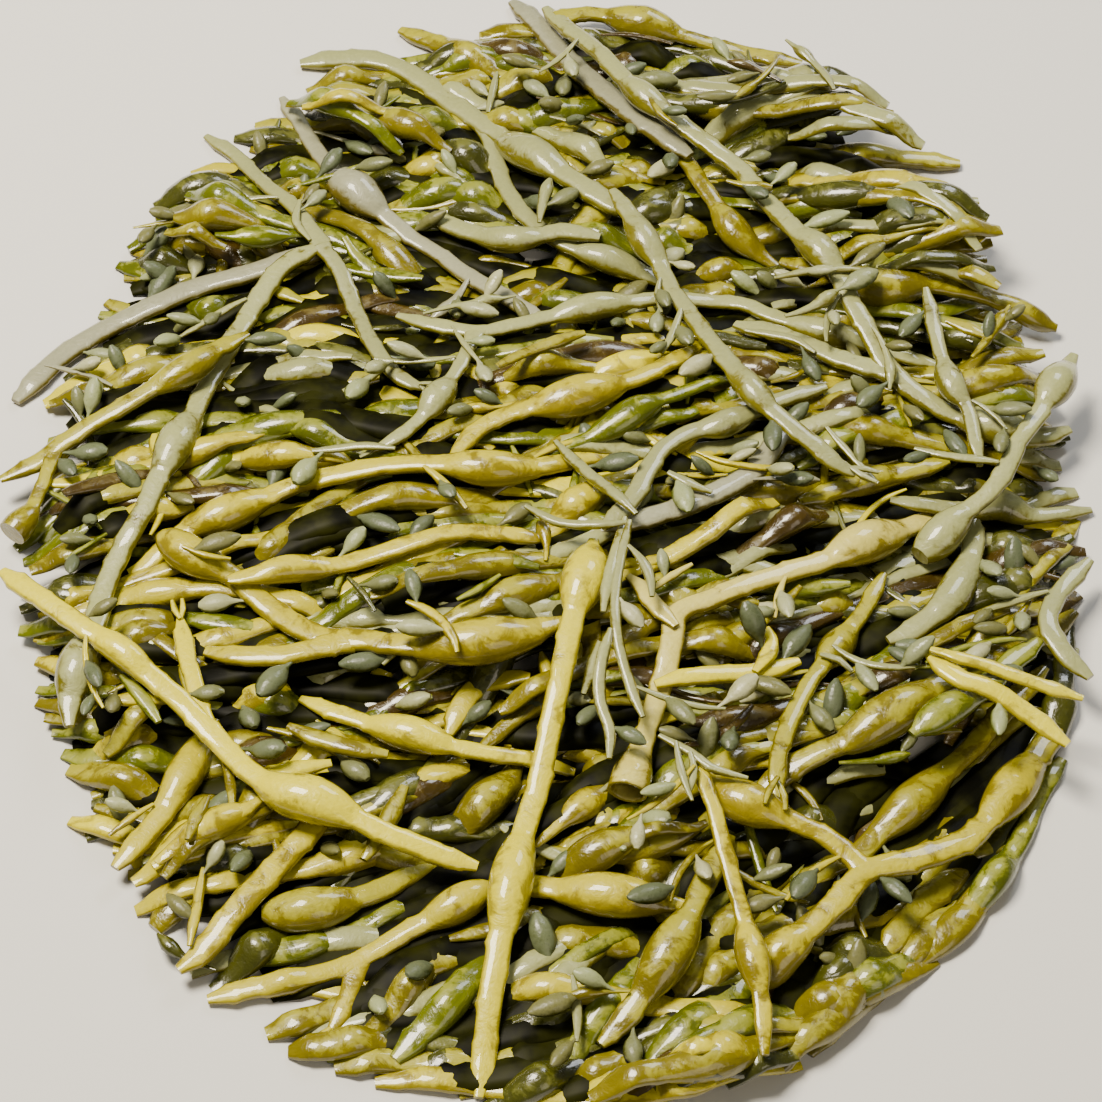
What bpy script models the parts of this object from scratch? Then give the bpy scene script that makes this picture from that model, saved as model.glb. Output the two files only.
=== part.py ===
"""Knotted rockweed, one whole plant, laid down in a flat dense tangle.

Metres, +Z up. The origin is the middle of the holdfast's flat cut underside.
Long shoots leave the holdfast along the ground, and the other shoots lie over them.
Each shoot is a flattened stem with single air bladders swollen in it.
"""
import math
import random

import bmesh
import bpy
import numpy as np

MM = 0.001

# The view that the upper shoots' routes were read from: pixels of a square frame, whose
# middle looks at AIM from VIEW_ELEVATION above the ground.
PHOTO_SIDE = 1102.0
PHOTO_SPAN = 370 * MM
VIEW_ELEVATION = math.radians(50)
VIEW_DISTANCE = 1.0
AIM = np.array([0.0, -45 * MM, 40 * MM])

# The tangle: its height at the rim and in the middle, as a first guess for the sight lines.
RIM_HEIGHT = 10 * MM
MIDDLE_HEIGHT = 36 * MM

# Stems and bladders.
STEM_FLATNESS = 0.50
BLADDER_FLATNESS = 0.82
SECTION_SHOULDER = 0.55
SECTION = [(1, 0), (SECTION_SHOULDER, 1), (-SECTION_SHOULDER, 1),
           (-1, 0), (-SECTION_SHOULDER, -1), (SECTION_SHOULDER, -1)]
TIP_TAPER_LENGTH = 9 * MM
TIP_WIDTH_RATIO = 0.45
RING_SPACING = 21 * MM
RING_MINIMUM = 3.5 * MM
BLADDER_RINGS = (-1.0, -0.5, 0.0, 0.5, 1.0)
BLADDER_FULLNESS = 0.85

# The torn bladder: where its rings lie along it, how soon it is at its full width, its wall,
# and how deep it is open, as shares of its length.
TORN_RINGS = (0.0, 0.25, 0.5, 0.75)
TORN_SWELLING_SHARE = 0.7
TORN_WALL = 1.3 * MM
TORN_POCKET_RINGS = ((0.35, 1.0), (0.65, 0.75))
TORN_FLOOR = 0.8

# How shoots lie on each other.
LAY_GAP = 0.6 * MM
LAY_STEP = 2 * MM
LAY_BEND_RADIUS = 150 * MM
LAY_PASSES = 3
FIELD_CELL = 1.5 * MM
FIELD_LOW = np.array([-290 * MM, -360 * MM])
FIELD_SIZE = (390, 500)
FORK_GAP = 1.0 * MM
FORK_BASE_HALF_WIDTH = 1.5 * MM

# The holdfast, a lobed disc cut flat underneath.
HOLDFAST_RADIUS = 25 * MM
HOLDFAST_HEIGHT = 15 * MM
HOLDFAST_LOBES = 7
HOLDFAST_LOBE_DEPTH = 0.12

# The long shoots that leave the holdfast along the ground.
MAIN_SHOOTS = 14
MAIN_SHOOT_LENGTH = (260 * MM, 330 * MM)
MAIN_SHOOT_WIDTH = (7 * MM, 9 * MM)
MAIN_BLADDER_SPACING = (62 * MM, 85 * MM)
MAIN_BLADDER_LENGTH = (28 * MM, 36 * MM)
MAIN_BLADDER_WIDTH = (13 * MM, 16 * MM)
MAIN_STEP = 12 * MM
MAT_HALF_WIDTH = 184 * MM
MAT_HALF_DEPTH = 232 * MM
SEED = 11

# Surface colours, sRGB.
OLIVE = "8F8436"
MUSTARD = "C4AC3F"
YELLOW = "DDC34B"
SAGE = "A3A172"
GREY = "AA9F79"
TAN = "CBB46A"
DARK = "5E5A24"
HOLDFAST_BROWN = "4E3F22"
WET_ROUGHNESS = 0.32
HOLDFAST_ROUGHNESS = 0.55


class Shoot:
    """One upper shoot as it is read from the view.

    route is a list of pixels, width the stem's width, and each bladder is
    (pixel across, pixel down, length, width), with its lengths in millimetres. torn is the
    length and width of a bladder that has torn open at the shoot's end.
    """

    def __init__(self, name, colour, width, route, bladders=(), branches=(), torn=None):
        self.name = name
        self.colour = colour
        self.width = width * MM
        self.route = route
        self.bladders = bladders
        self.branches = branches
        self.torn = torn


# The upper shoots in the order in which they lie, the lowest first.
UPPER_SHOOTS = [
    Shoot("grey_bladder", GREY, 7,
          [(282, 98), (300, 125), (316, 150), (332, 170), (356, 192), (385, 216), (411, 238),
           (440, 258), (480, 282), (520, 305), (548, 322)],
          [(356, 192, 32, 17.5)]),
    Shoot("left_rim", GREY, 8.6,
          [(16, 402), (45, 372), (75, 348), (116, 323), (158, 302), (200, 286), (245, 274),
           (292, 258), (332, 250)]),
    Shoot("upper_left", SAGE, 9.5,
          [(300, 64), (340, 60), (380, 62), (422, 82), (455, 106), (492, 130), (528, 152),
           (565, 175), (604, 200), (636, 216)],
          [(530, 153, 36, 16.5)],
          [Shoot("branch", SAGE, 7,
                 [(492, 130), (495, 155), (502, 180), (514, 203), (536, 226), (565, 246),
                  (611, 262), (645, 275), (672, 289)],
                 [(611, 262, 27, 12)])]),
    Shoot("mid_mustard", MUSTARD, 7,
          [(452, 458), (478, 430), (505, 415), (540, 405), (577, 396), (615, 385), (641, 377),
           (670, 362), (700, 347)],
          [(577, 396, 36, 16.5)]),
    Shoot("pale_band", GREY, 8.6,
          [(600, 530), (619, 524), (651, 517), (683, 507), (721, 491), (756, 470), (776, 440),
           (786, 415)]),
    Shoot("right_dark", OLIVE, 7.8,
          [(780, 262), (832, 272), (880, 288), (930, 284), (965, 290), (1000, 301),
           (1028, 314), (1057, 330)],
          [(885, 288, 38, 16.5), (1028, 314, 21, 10)]),
    Shoot("left_middle", MUSTARD, 7.8,
          [(128, 572), (150, 560), (188, 528), (225, 513), (262, 498), (300, 482), (345, 472),
           (400, 463), (450, 463), (491, 467), (535, 466), (575, 460), (620, 455)],
          [(225, 513, 31, 14.5), (491, 467, 33, 14.5)]),
    Shoot("centre_fork", MUSTARD, 8.6,
          [(566, 620), (545, 627), (522, 634), (478, 641), (430, 645), (395, 643), (362, 640),
           (330, 639), (300, 628), (275, 610), (250, 590), (225, 570), (190, 553), (160, 532)],
          [(478, 641, 42, 17.5), (190, 552, 29, 14.5)],
          [Shoot("branch", MUSTARD, 7.8,
                 [(345, 641), (318, 648), (285, 655), (245, 656), (205, 652)])]),
    Shoot("lower_bladder", MUSTARD, 7.8,
          [(503, 878), (536, 884), (565, 888), (612, 893), (655, 899), (690, 905)],
          [(612, 893, 35, 15.5)]),
    Shoot("lower_right_bladder", OLIVE, 7.8,
          [(730, 836), (715, 862), (700, 890), (688, 918), (668, 955), (645, 990), (625, 1018),
           (600, 1045)],
          [(668, 955, 32, 15.5)]),
    Shoot("low_left_bladder", OLIVE, 7.8,
          [(262, 913), (309, 910), (350, 900), (385, 888), (420, 868), (438, 846)],
          [(309, 910, 32, 15.5)]),
    Shoot("left_slant", MUSTARD, 8.6,
          [(178, 970), (205, 948), (235, 910), (262, 880), (290, 850), (314, 826),
           (332, 804)]),
    Shoot("rim_low_left", MUSTARD, 7.8,
          [(215, 720), (200, 745), (183, 776), (165, 808), (140, 840), (115, 868)],
          [(185, 772, 31, 13)]),
    Shoot("right_pair_upper", OLIVE, 8.6,
          [(1075, 612), (1030, 640), (965, 672), (930, 690), (888, 716), (850, 740),
           (820, 752), (786, 770), (752, 800)],
          [(888, 716, 38, 16.5)]),
    Shoot("right_pair_lower", OLIVE, 7.8,
          [(1048, 655), (1015, 690), (975, 728), (945, 750), (915, 778), (885, 805),
           (860, 830), (828, 848), (790, 880)],
          [(917, 776, 33, 14.5)]),
    Shoot("left_fan", SAGE, 7.8,
          [(322, 246), (300, 256), (278, 272), (258, 300), (242, 325), (222, 360), (205, 390),
           (192, 415), (176, 443), (160, 475), (143, 510), (122, 550), (105, 590), (95, 625),
           (78, 665), (70, 700), (70, 727)],
          [(178, 440, 30, 14.5), (78, 664, 27, 14.5)],
          [Shoot("branch_down", SAGE, 6.2,
                 [(318, 246), (335, 262), (348, 290), (362, 325), (380, 355), (400, 378),
                  (424, 388)]),
           Shoot("branch_up", SAGE, 6.2,
                 [(324, 246), (308, 226), (290, 203), (265, 184), (240, 160), (206, 136)])]),
    Shoot("far_left_fork", OLIVE, 7,
          [(0, 480), (38, 462), (62, 445), (90, 425), (120, 408), (150, 390), (190, 368),
           (216, 350), (248, 334)],
          [(188, 369, 29, 13)],
          [Shoot("branch", OLIVE, 5.4,
                 [(55, 450), (46, 475), (32, 508), (12, 534)],
                 [(16, 528, 20, 12)])]),
    Shoot("cross_fork", SAGE, 6.2,
          [(397, 316), (439, 326), (475, 332), (506, 327), (545, 317), (590, 306), (640, 299),
           (680, 296), (737, 303), (775, 318), (832, 334), (875, 347), (905, 357), (945, 368)],
          [(592, 306, 30, 12), (830, 334, 32, 11)],
          [Shoot("branch", SAGE, 5.4,
                 [(475, 332), (464, 358), (452, 378), (438, 397), (420, 420), (398, 437),
                  (372, 452)],
                 [(438, 397, 20, 12)])]),
    Shoot("short_twin", OLIVE, 6.2,
          [(884, 574), (866, 608), (850, 630), (834, 650), (815, 675), (800, 700),
           (786, 730), (778, 755), (778, 778), (776, 800)],
          [(836, 647, 21, 12)]),
    Shoot("low_right_fork", MUSTARD, 8.6,
          [(760, 985), (778, 957), (800, 938), (838, 902), (866, 873), (905, 862),
           (940, 852), (970, 838), (992, 815), (1012, 790), (1032, 763), (1046, 742),
           (1062, 722)],
          [(777, 957, 24, 14.5), (1012, 789, 31, 15.5)],
          [Shoot("branch", MUSTARD, 7,
                 [(866, 873), (838, 846), (805, 828), (775, 815), (745, 803), (715, 788),
                  (698, 768)],
                 [(742, 802, 30, 15.5)])]),
    Shoot("top_olive", OLIVE, 7,
          [(630, 121), (660, 132), (683, 156), (702, 182), (720, 208), (738, 232), (760, 252),
           (780, 268)],
          [(738, 230, 26, 13)]),
    Shoot("top_band", GREY, 9.5,
          [(512, 2), (551, 40), (590, 80), (630, 112), (668, 140), (690, 156)]),
    Shoot("long_right", SAGE, 7.8,
          [(545, 8), (572, 32), (598, 52), (620, 75), (645, 97), (676, 121), (712, 148),
           (742, 172), (768, 203), (792, 228), (820, 251), (838, 275), (850, 300), (866, 330),
           (888, 366), (915, 393), (950, 414), (997, 426), (1035, 437), (1070, 430)],
          [(645, 97, 24, 12), (820, 250, 24, 13), (999, 426, 29, 15.5)],
          [Shoot("branch", SAGE, 7.8,
                 [(892, 372), (850, 362), (815, 349), (775, 333), (735, 320)]),
           Shoot("branch_top", OLIVE, 7.8,
                 [(558, 20), (585, 14), (612, 17), (645, 24), (690, 38), (730, 50), (770, 58),
                  (802, 64)],
                 [(645, 24, 32, 16.5)])]),
    Shoot("low_left_fork", MUSTARD, 7,
          [(205, 986), (250, 978), (280, 975), (315, 970), (350, 963), (385, 945), (420, 925),
           (464, 900), (492, 884)],
          [(282, 975, 14, 8.5), (462, 901, 25, 13)],
          [Shoot("branch", MUSTARD, 6.2,
                 [(350, 963), (350, 988), (342, 1012), (328, 1036)])]),
    Shoot("long_left", YELLOW, 7.8,
          [(2, 573), (40, 598), (80, 625), (120, 650), (150, 675), (182, 703), (212, 735),
           (245, 768), (280, 790), (315, 800), (350, 815), (390, 835), (430, 850), (478, 866)],
          [(122, 652, 22, 10.5), (310, 796, 35, 16.5)],
          [Shoot("branch", YELLOW, 6.2,
                 [(203, 722), (196, 690), (188, 660), (180, 618)])]),
    Shoot("right_olive_fork", TAN, 7.8,
          [(957, 503), (930, 511), (905, 522), (866, 541), (825, 561), (790, 570), (750, 583), (715, 597),
           (678, 612), (672, 640), (665, 670), (655, 705), (645, 738), (636, 762), (627, 792)],
          [(866, 541, 35, 16.5)], torn=(21, 13.5)),
    Shoot("node_cross", SAGE, 6.2,
          [(892, 487), (940, 486), (975, 484), (1004, 475), (1040, 484), (1098, 480)],
          [(1004, 476, 27, 13)]),
    Shoot("far_right", SAGE, 7,
          [(1074, 356), (1056, 384), (1038, 415), (1020, 440), (1006, 468), (990, 492),
           (965, 512), (940, 536), (920, 556)],
          [(1056, 383, 26, 14.5), (941, 534, 26, 14.5)]),
    Shoot("right_thin", SAGE, 5.4,
          [(924, 300), (935, 335), (950, 382), (968, 410), (975, 440), (980, 466)],
          [(950, 381, 21, 11)]),
    Shoot("elbow", SAGE, 7,
          [(826, 386), (780, 400), (750, 412), (722, 424), (690, 432), (663, 448), (647, 472),
           (635, 495), (618, 514), (602, 528)],
          [(724, 423, 19, 11)]),
    Shoot("diagonal", SAGE, 7,
          [(612, 190), (630, 215), (645, 241), (658, 262), (673, 290), (692, 315), (712, 342),
           (732, 366), (751, 388), (770, 408), (790, 425), (812, 443), (835, 462), (856, 474)],
          [(645, 240, 25, 12), (751, 388, 24, 11)]),
    Shoot("slim_low", MUSTARD, 5.4,
          [(693, 757), (707, 788), (722, 838), (735, 888), (745, 925), (752, 955), (760, 990),
           (763, 1020), (765, 1056)],
          [(752, 955, 24, 11)]),
    Shoot("mustard_low", YELLOW, 6.2,
          [(300, 700), (335, 712), (370, 722), (411, 732), (450, 744), (490, 752), (530, 758),
           (575, 772)],
          [(411, 731, 30, 13)]),
    Shoot("centre_down", YELLOW, 7.8,
          [(594, 540), (586, 572), (574, 612), (566, 650), (556, 700), (545, 752), (530, 810),
           (515, 862), (507, 905), (498, 950), (490, 1005), (484, 1055), (478, 1098)],
          [(584, 576, 31, 16.5), (511, 880, 37, 14.5)]),
]


def sight_points(pixels, heights):
    """Where the sight lines through some pixels pass the given heights, as x and y."""
    back = np.array([0.0, -math.cos(VIEW_ELEVATION), math.sin(VIEW_ELEVATION)])
    upward = np.array([0.0, math.sin(VIEW_ELEVATION), math.cos(VIEW_ELEVATION)])
    across = (pixels[:, 0] / PHOTO_SIDE - 0.5) * PHOTO_SPAN
    rise = (0.5 - pixels[:, 1] / PHOTO_SIDE) * PHOTO_SPAN
    eye = AIM + back * VIEW_DISTANCE
    target = AIM + rise[:, None] * upward
    target[:, 0] += across
    ray = target - eye
    reach = (heights - eye[2]) / ray[:, 2]
    return (eye + ray * reach[:, None])[:, :2]


def mound_heights(pixels):
    """A first guess of the tangle's height on each pixel's sight line."""
    middle = PHOTO_SIDE / 2
    off_middle = np.hypot(pixels[:, 0] - middle, pixels[:, 1] - middle) / middle
    return RIM_HEIGHT + (MIDDLE_HEIGHT - RIM_HEIGHT) * np.clip(1 - off_middle ** 2, 0, 1)


def smooth_path(points, step):
    """A Catmull-Rom curve through the points, read off at an even step."""
    before = 2 * points[0] - points[1]
    after = 2 * points[-1] - points[-2]
    guide = np.vstack([before, points, after])
    fine = []
    for i in range(1, len(guide) - 2):
        a, b, c, d = guide[i - 1:i + 3]
        for t in np.linspace(0, 1, 16, endpoint=False):
            fine.append(0.5 * (2 * b + (c - a) * t + (2 * a - 5 * b + 4 * c - d) * t * t
                               + (3 * b - a - 3 * c + d) * t ** 3))
    fine = np.array(fine + [guide[-2]])
    arc = arc_lengths(fine)
    even = np.linspace(0, arc[-1], max(8, int(arc[-1] / step)))
    return np.column_stack([np.interp(even, arc, fine[:, k]) for k in range(fine.shape[1])])


def arc_lengths(points):
    """The distance along a row of points, from its start to each."""
    return np.concatenate([[0], np.cumsum(np.linalg.norm(np.diff(points, axis=0), axis=1))])


def side_directions(points):
    """The level direction square to a path at each of its points."""
    along = np.gradient(points, axis=0)
    along /= np.linalg.norm(along, axis=1)[:, None]
    return np.column_stack([-along[:, 1], along[:, 0]])


def swollen(half_width, half_height, breadth, swell):
    """A stem's half sizes with part of a bladder's added: swell is 1 where it is widest."""
    wide = half_width + (breadth / 2 - half_width) * swell
    tall = half_height + (breadth / 2 * BLADDER_FLATNESS - half_height) * swell
    return np.maximum(half_width, wide), np.maximum(half_height, tall)


class Field:
    """The height of what lies on the ground so far, in a grid of cells."""

    def __init__(self):
        self.height = np.zeros(FIELD_SIZE)

    def cells(self, points):
        """The four cells round each point."""
        place = (points - FIELD_LOW) / FIELD_CELL
        low = np.clip(np.floor(place).astype(int), 0, np.array(FIELD_SIZE) - 2)
        return [(low[..., 0] + i, low[..., 1] + j) for i in (0, 1) for j in (0, 1)]

    def read(self, points):
        return np.max([self.height[cell] for cell in self.cells(points)], axis=0)

    def add(self, points, tops):
        for cell in self.cells(points):
            np.maximum.at(self.height, cell, tops)


class Strand:
    """A stem with its bladders: rings along a path, each with a place and two half sizes."""

    def __init__(self, name, colour, points, width, bladders, torn=None):
        self.name = name
        self.colour = colour
        self.width = width
        self.bladders = bladders
        self.torn = torn
        self.limits = None
        self.set_path(points)

    def set_path(self, points):
        """Puts rings on a path: at its ends, on its bladders, and evenly between."""
        self.path = points
        self.path_arc = arc_lengths(points)
        length = self.path_arc[-1]
        self.bladder_arcs = [(self.nearest_arc(centre), size, breadth)
                             for centre, size, breadth in self.bladders]
        wanted = [0, TIP_TAPER_LENGTH, length - TIP_TAPER_LENGTH, length]
        for arc, size, _ in self.bladder_arcs:
            wanted = [w for w in wanted if abs(w - arc) > size / 2 or w in (0, length)]
            wanted += [arc + place * size / 2 for place in BLADDER_RINGS]
        if self.torn:
            wanted = [w for w in wanted if w < length - self.torn[0] or w == length]
            wanted += [length - self.torn[0] * (1 - place) for place in TORN_RINGS]
        wanted = sorted(w for w in wanted if 0 <= w <= length)
        rings = [wanted[0]]
        for w in wanted[1:]:
            if w - rings[-1] < RING_MINIMUM:
                if w == length:
                    rings[-1] = w
                continue
            extra = int((w - rings[-1]) / RING_SPACING)
            rings += list(np.linspace(rings[-1], w, extra + 2)[1:])
        self.arcs = np.array(rings)
        self.centres = self.at(self.arcs)
        fine_sides = side_directions(self.path)
        sides = np.column_stack([np.interp(self.arcs, self.path_arc, fine_sides[:, k])
                                 for k in (0, 1)])
        self.sides = sides / np.linalg.norm(sides, axis=1)[:, None]
        self.half_width, self.half_height = self.sizes(self.arcs)

    def nearest_arc(self, point):
        return self.path_arc[np.argmin(np.linalg.norm(self.path - point, axis=1))]

    def at(self, arcs):
        return np.column_stack([np.interp(arcs, self.path_arc, self.path[:, k])
                                for k in (0, 1)])

    def sizes(self, arcs):
        """Half widths and half heights: a tapered stem with its bladders swollen in it."""
        length = self.path_arc[-1]
        from_end = arcs if self.torn else np.minimum(arcs, length - arcs)
        taper = TIP_WIDTH_RATIO + (1 - TIP_WIDTH_RATIO) * np.clip(from_end / TIP_TAPER_LENGTH, 0, 1)
        half_width = taper * self.width / 2
        if self.limits is not None:
            half_width = np.minimum(half_width, np.interp(arcs, *self.limits))
        half_height = half_width * STEM_FLATNESS
        for arc, size, breadth in self.bladder_arcs:
            place = np.clip((arcs - arc) / (size / 2), -1, 1)
            swell = np.cos(place * math.pi / 2) ** BLADDER_FULLNESS
            half_width, half_height = swollen(half_width, half_height, breadth, swell)
        if self.torn:
            size, breadth = self.torn
            place = np.clip((arcs - length + size) / (TORN_SWELLING_SHARE * size), 0, 1)
            swell = np.sin(place * math.pi / 2) ** 2
            half_width, half_height = swollen(half_width, half_height, breadth, swell)
        return half_width, half_height

    def samples(self):
        """Close samples along the straight runs between the rings."""
        count = max(4, int(self.arcs[-1] / LAY_STEP))
        fine = np.union1d(np.linspace(self.arcs[0], self.arcs[-1], count), self.arcs)
        read = lambda values: np.interp(fine, self.arcs, values)
        centres = np.column_stack([read(self.centres[:, k]) for k in (0, 1)])
        sides = np.column_stack([read(self.sides[:, k]) for k in (0, 1)])
        return fine, centres, sides, read(self.half_width), read(self.half_height)

    def lay(self, field, least=()):
        """Sets the rings' heights so that the strand lies on the field in gentle curves.

        least lists (arc, height) pairs that it must not run under.
        """
        fine, centres, sides, half_width, half_height = self.samples()
        need = half_height.copy()
        for place in np.linspace(-1, 1, 9):
            points = centres + sides * (place * half_width)[:, None]
            depth = half_height * math.sqrt(1 - place * place)
            need = np.maximum(need, field.read(points) + LAY_GAP * (field.read(points) > 0) + depth)
        for arc, height in least:
            need[np.argmin(np.abs(fine - arc))] = max(height, need[np.argmin(np.abs(fine - arc))])
        away = self.arcs[:, None] - fine[None, :]
        self.heights = np.max(need[None, :] - away ** 2 / (2 * LAY_BEND_RADIUS), axis=1)
        for _ in range(40):
            short = need - np.interp(fine, self.arcs, self.heights)
            worst = int(np.argmax(short))
            if short[worst] <= 1e-6:
                break
            ring = np.clip(np.searchsorted(self.arcs, fine[worst]), 1, len(self.arcs) - 1)
            self.heights[ring - 1:ring + 1] += short[worst] + 1e-6

    def mark(self, field):
        """Adds the strand's upper side to the field."""
        count = max(8, int(self.arcs[-1] / (0.7 * MM)))
        fine = np.linspace(self.arcs[0], self.arcs[-1], count)
        read = lambda values: np.interp(fine, self.arcs, values)
        centres = np.column_stack([read(self.centres[:, k]) for k in (0, 1)])
        sides = np.column_stack([read(self.sides[:, k]) for k in (0, 1)])
        half_width = read(self.half_width)
        half_height = read(self.half_height)
        heights = read(self.heights)
        for place in np.linspace(-1, 1, 25):
            points = centres + sides * (place * half_width)[:, None]
            field.add(points, heights + half_height * math.sqrt(1 - place * place))


def branch_limits(strand, stem):
    """How wide a branch may be along its path, so that it stays beside its stem.

    The branch starts where its narrow base first clears the stem's flank.
    """
    fine, centres, _, half_width, _ = stem.samples()
    gaps = []
    for point in strand.path:
        away = np.linalg.norm(centres - point, axis=1) - half_width
        gaps.append(away.min() - FORK_GAP)
    gaps = np.array(gaps)
    start = int(np.argmax(gaps > FORK_BASE_HALF_WIDTH))
    return start, gaps


def read_strand(shoot, heights):
    """A strand along a shoot's route, with the route's points at the given heights."""
    pixels = np.array(shoot.route, float)
    points = smooth_path(sight_points(pixels, heights), LAY_STEP)
    swellings = []
    for across, down, size, breadth in shoot.bladders:
        spot = np.array([[across, down]], float)
        nearest = int(np.argmin(np.linalg.norm(pixels - spot, axis=1)))
        centre = sight_points(spot, heights[nearest:nearest + 1])[0]
        swellings.append((centre, size * MM, breadth * MM))
    torn = shoot.torn and (shoot.torn[0] * MM, shoot.torn[1] * MM)
    return Strand("shoot_" + shoot.name, shoot.colour, points, shoot.width, swellings, torn)


def route_heights(strand, shoot, heights):
    """The laid strand's heights at its route's points."""
    spots = sight_points(np.array(shoot.route, float), heights)
    return np.array([np.interp(strand.nearest_arc(spot), strand.arcs, strand.heights)
                     for spot in spots])


def lay_shoot(shoot, field):
    """Lays an upper shoot and its branches, and keeps them on their sight lines.

    Where a branch has to start higher than its stem lies, it lifts the stem at the fork, so
    they are laid twice.
    """
    lifts = []
    for _ in range(2):
        heights = mound_heights(np.array(shoot.route, float))
        for _ in range(LAY_PASSES):
            stem = read_strand(shoot, heights)
            stem.lay(field, lifts)
            heights = route_heights(stem, shoot, heights)
        laid = [stem]
        lifts = []
        for branch in shoot.branches:
            strand, fork_arc = lay_branch(shoot, branch, stem, heights, field)
            laid.append(strand)
            lifts.append((fork_arc, strand.heights[0]))
    for strand in laid:
        strand.mark(field)
    return laid


def lay_branch(shoot, branch, stem, heights, field):
    """Lays a branch from where it clears its stem. Returns it and the fork's place."""
    fork = np.array(branch.route[0], float)
    nearest = np.argmin(np.linalg.norm(np.array(shoot.route, float) - fork, axis=1))
    branch_heights = np.full(len(branch.route), heights[nearest])
    for _ in range(LAY_PASSES):
        strand = read_strand(branch, branch_heights)
        fork_arc = stem.nearest_arc(strand.path[0])
        fork_height = np.interp(fork_arc, stem.arcs, stem.heights)
        start, gaps = branch_limits(strand, stem)
        strand.limits = (strand.path_arc[start:] - strand.path_arc[start], gaps[start:])
        strand.set_path(strand.path[start:])
        strand.lay(field, [(0.0, fork_height)])
        branch_heights = route_heights(strand, branch, branch_heights)
    strand.name = stem.name + "_" + branch.name
    return strand, fork_arc


def holdfast_outline(angle):
    return HOLDFAST_RADIUS * (1 + HOLDFAST_LOBE_DEPTH * math.sin(HOLDFAST_LOBES * angle))


def mark_holdfast(field):
    """Adds the holdfast's dome to the field."""
    for radius in np.arange(0, HOLDFAST_RADIUS * (1 + HOLDFAST_LOBE_DEPTH) + FIELD_CELL, FIELD_CELL / 2):
        count = max(6, int(radius / FIELD_CELL * 12))
        turns = np.linspace(0, 2 * math.pi, count, endpoint=False)
        points = np.column_stack([radius * np.cos(turns), radius * np.sin(turns)])
        field.add(points, np.full(count, HOLDFAST_HEIGHT))


def main_shoot_path(angle, turn_after, lie, dice):
    """A path from the holdfast that bends round to the way most shoots lie."""
    start = HOLDFAST_RADIUS * (1 + HOLDFAST_LOBE_DEPTH) + 1.5 * MM
    point = np.array([math.cos(angle), math.sin(angle)]) * start
    points = [point]
    heading = angle
    length = dice.uniform(*MAIN_SHOOT_LENGTH)
    sway = dice.uniform(0, 2 * math.pi)
    travelled = 0.0
    while travelled < length:
        if travelled > turn_after:
            swing = (lie - heading + math.pi) % (2 * math.pi) - math.pi
            heading += np.clip(swing, -0.16, 0.16)
        heading += 0.05 * math.sin(travelled / (26 * MM) + sway)
        point = point + MAIN_STEP * np.array([math.cos(heading), math.sin(heading)])
        if (point[0] / MAT_HALF_WIDTH) ** 2 + (point[1] / MAT_HALF_DEPTH) ** 2 > 1:
            break
        points.append(point)
        travelled += MAIN_STEP
    return smooth_path(np.array(points), LAY_STEP)


def lay_main_shoots(field):
    """Lays the long shoots that leave the holdfast along the ground."""
    dice = random.Random(SEED)
    laid = []
    for number in range(MAIN_SHOOTS):
        angle = 2 * math.pi * (number + 0.3 * dice.random()) / MAIN_SHOOTS
        turn_after = dice.uniform(30 * MM, 150 * MM) * abs(math.sin(angle)) + 10 * MM
        towards = 0.0 if math.cos(angle) > 0 else math.pi
        lie = towards + dice.uniform(-0.45, 0.45)
        path = main_shoot_path(angle, turn_after, lie, dice)
        reach = arc_lengths(path)
        swellings = []
        place = dice.uniform(35 * MM, 60 * MM)
        while place < reach[-1] - 18 * MM:
            centre = path[np.argmin(np.abs(reach - place))]
            size = dice.uniform(*MAIN_BLADDER_LENGTH)
            swellings.append((centre, size, dice.uniform(*MAIN_BLADDER_WIDTH)))
            place += dice.uniform(*MAIN_BLADDER_SPACING)
        colour = (OLIVE, DARK, MUSTARD)[number % 3]
        strand = Strand("main_shoot_%02d" % (number + 1), colour, path,
                        dice.uniform(*MAIN_SHOOT_WIDTH), swellings)
        strand.lay(field)
        strand.mark(field)
        laid.append(strand)
    return laid


def linear_channel(value):
    return value / 12.92 if value <= 0.04045 else ((value + 0.055) / 1.055) ** 2.4


def finish(name, colour, roughness):
    """A plain Principled material from an sRGB hex colour."""
    material = bpy.data.materials.new(name)
    material.use_nodes = True
    shader = material.node_tree.nodes["Principled BSDF"]
    channels = [linear_channel(int(colour[i:i + 2], 16) / 255) for i in (0, 2, 4)]
    shader.inputs["Base Color"].default_value = (*channels, 1)
    shader.inputs["Roughness"].default_value = roughness
    shader.inputs["Metallic"].default_value = 0.0
    return material


def add_object(name, mesh, material, collection):
    part = bpy.data.objects.new(name, mesh)
    part.data.materials.append(material)
    part.data.shade_smooth()
    collection.objects.link(part)
    return part


def strand_ring(shape, strand, index, thinner=0.0, arc=None, share=1.0):
    """One six-sided ring of a strand, pulled in by a wall's thickness where it is inside."""
    ring = []
    wide = (strand.half_width[index] - thinner) * share
    tall = (strand.half_height[index] - thinner) * share
    level = strand.centres[index]
    height = strand.heights[index]
    if arc is not None:
        level = np.array([np.interp(arc, strand.arcs, strand.centres[:, k]) for k in (0, 1)])
        height = np.interp(arc, strand.arcs, strand.heights)
    for across, lift in SECTION:
        place = level + strand.sides[index] * wide * across
        ring.append(shape.verts.new((place[0], place[1], height + tall * lift)))
    return ring


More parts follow.
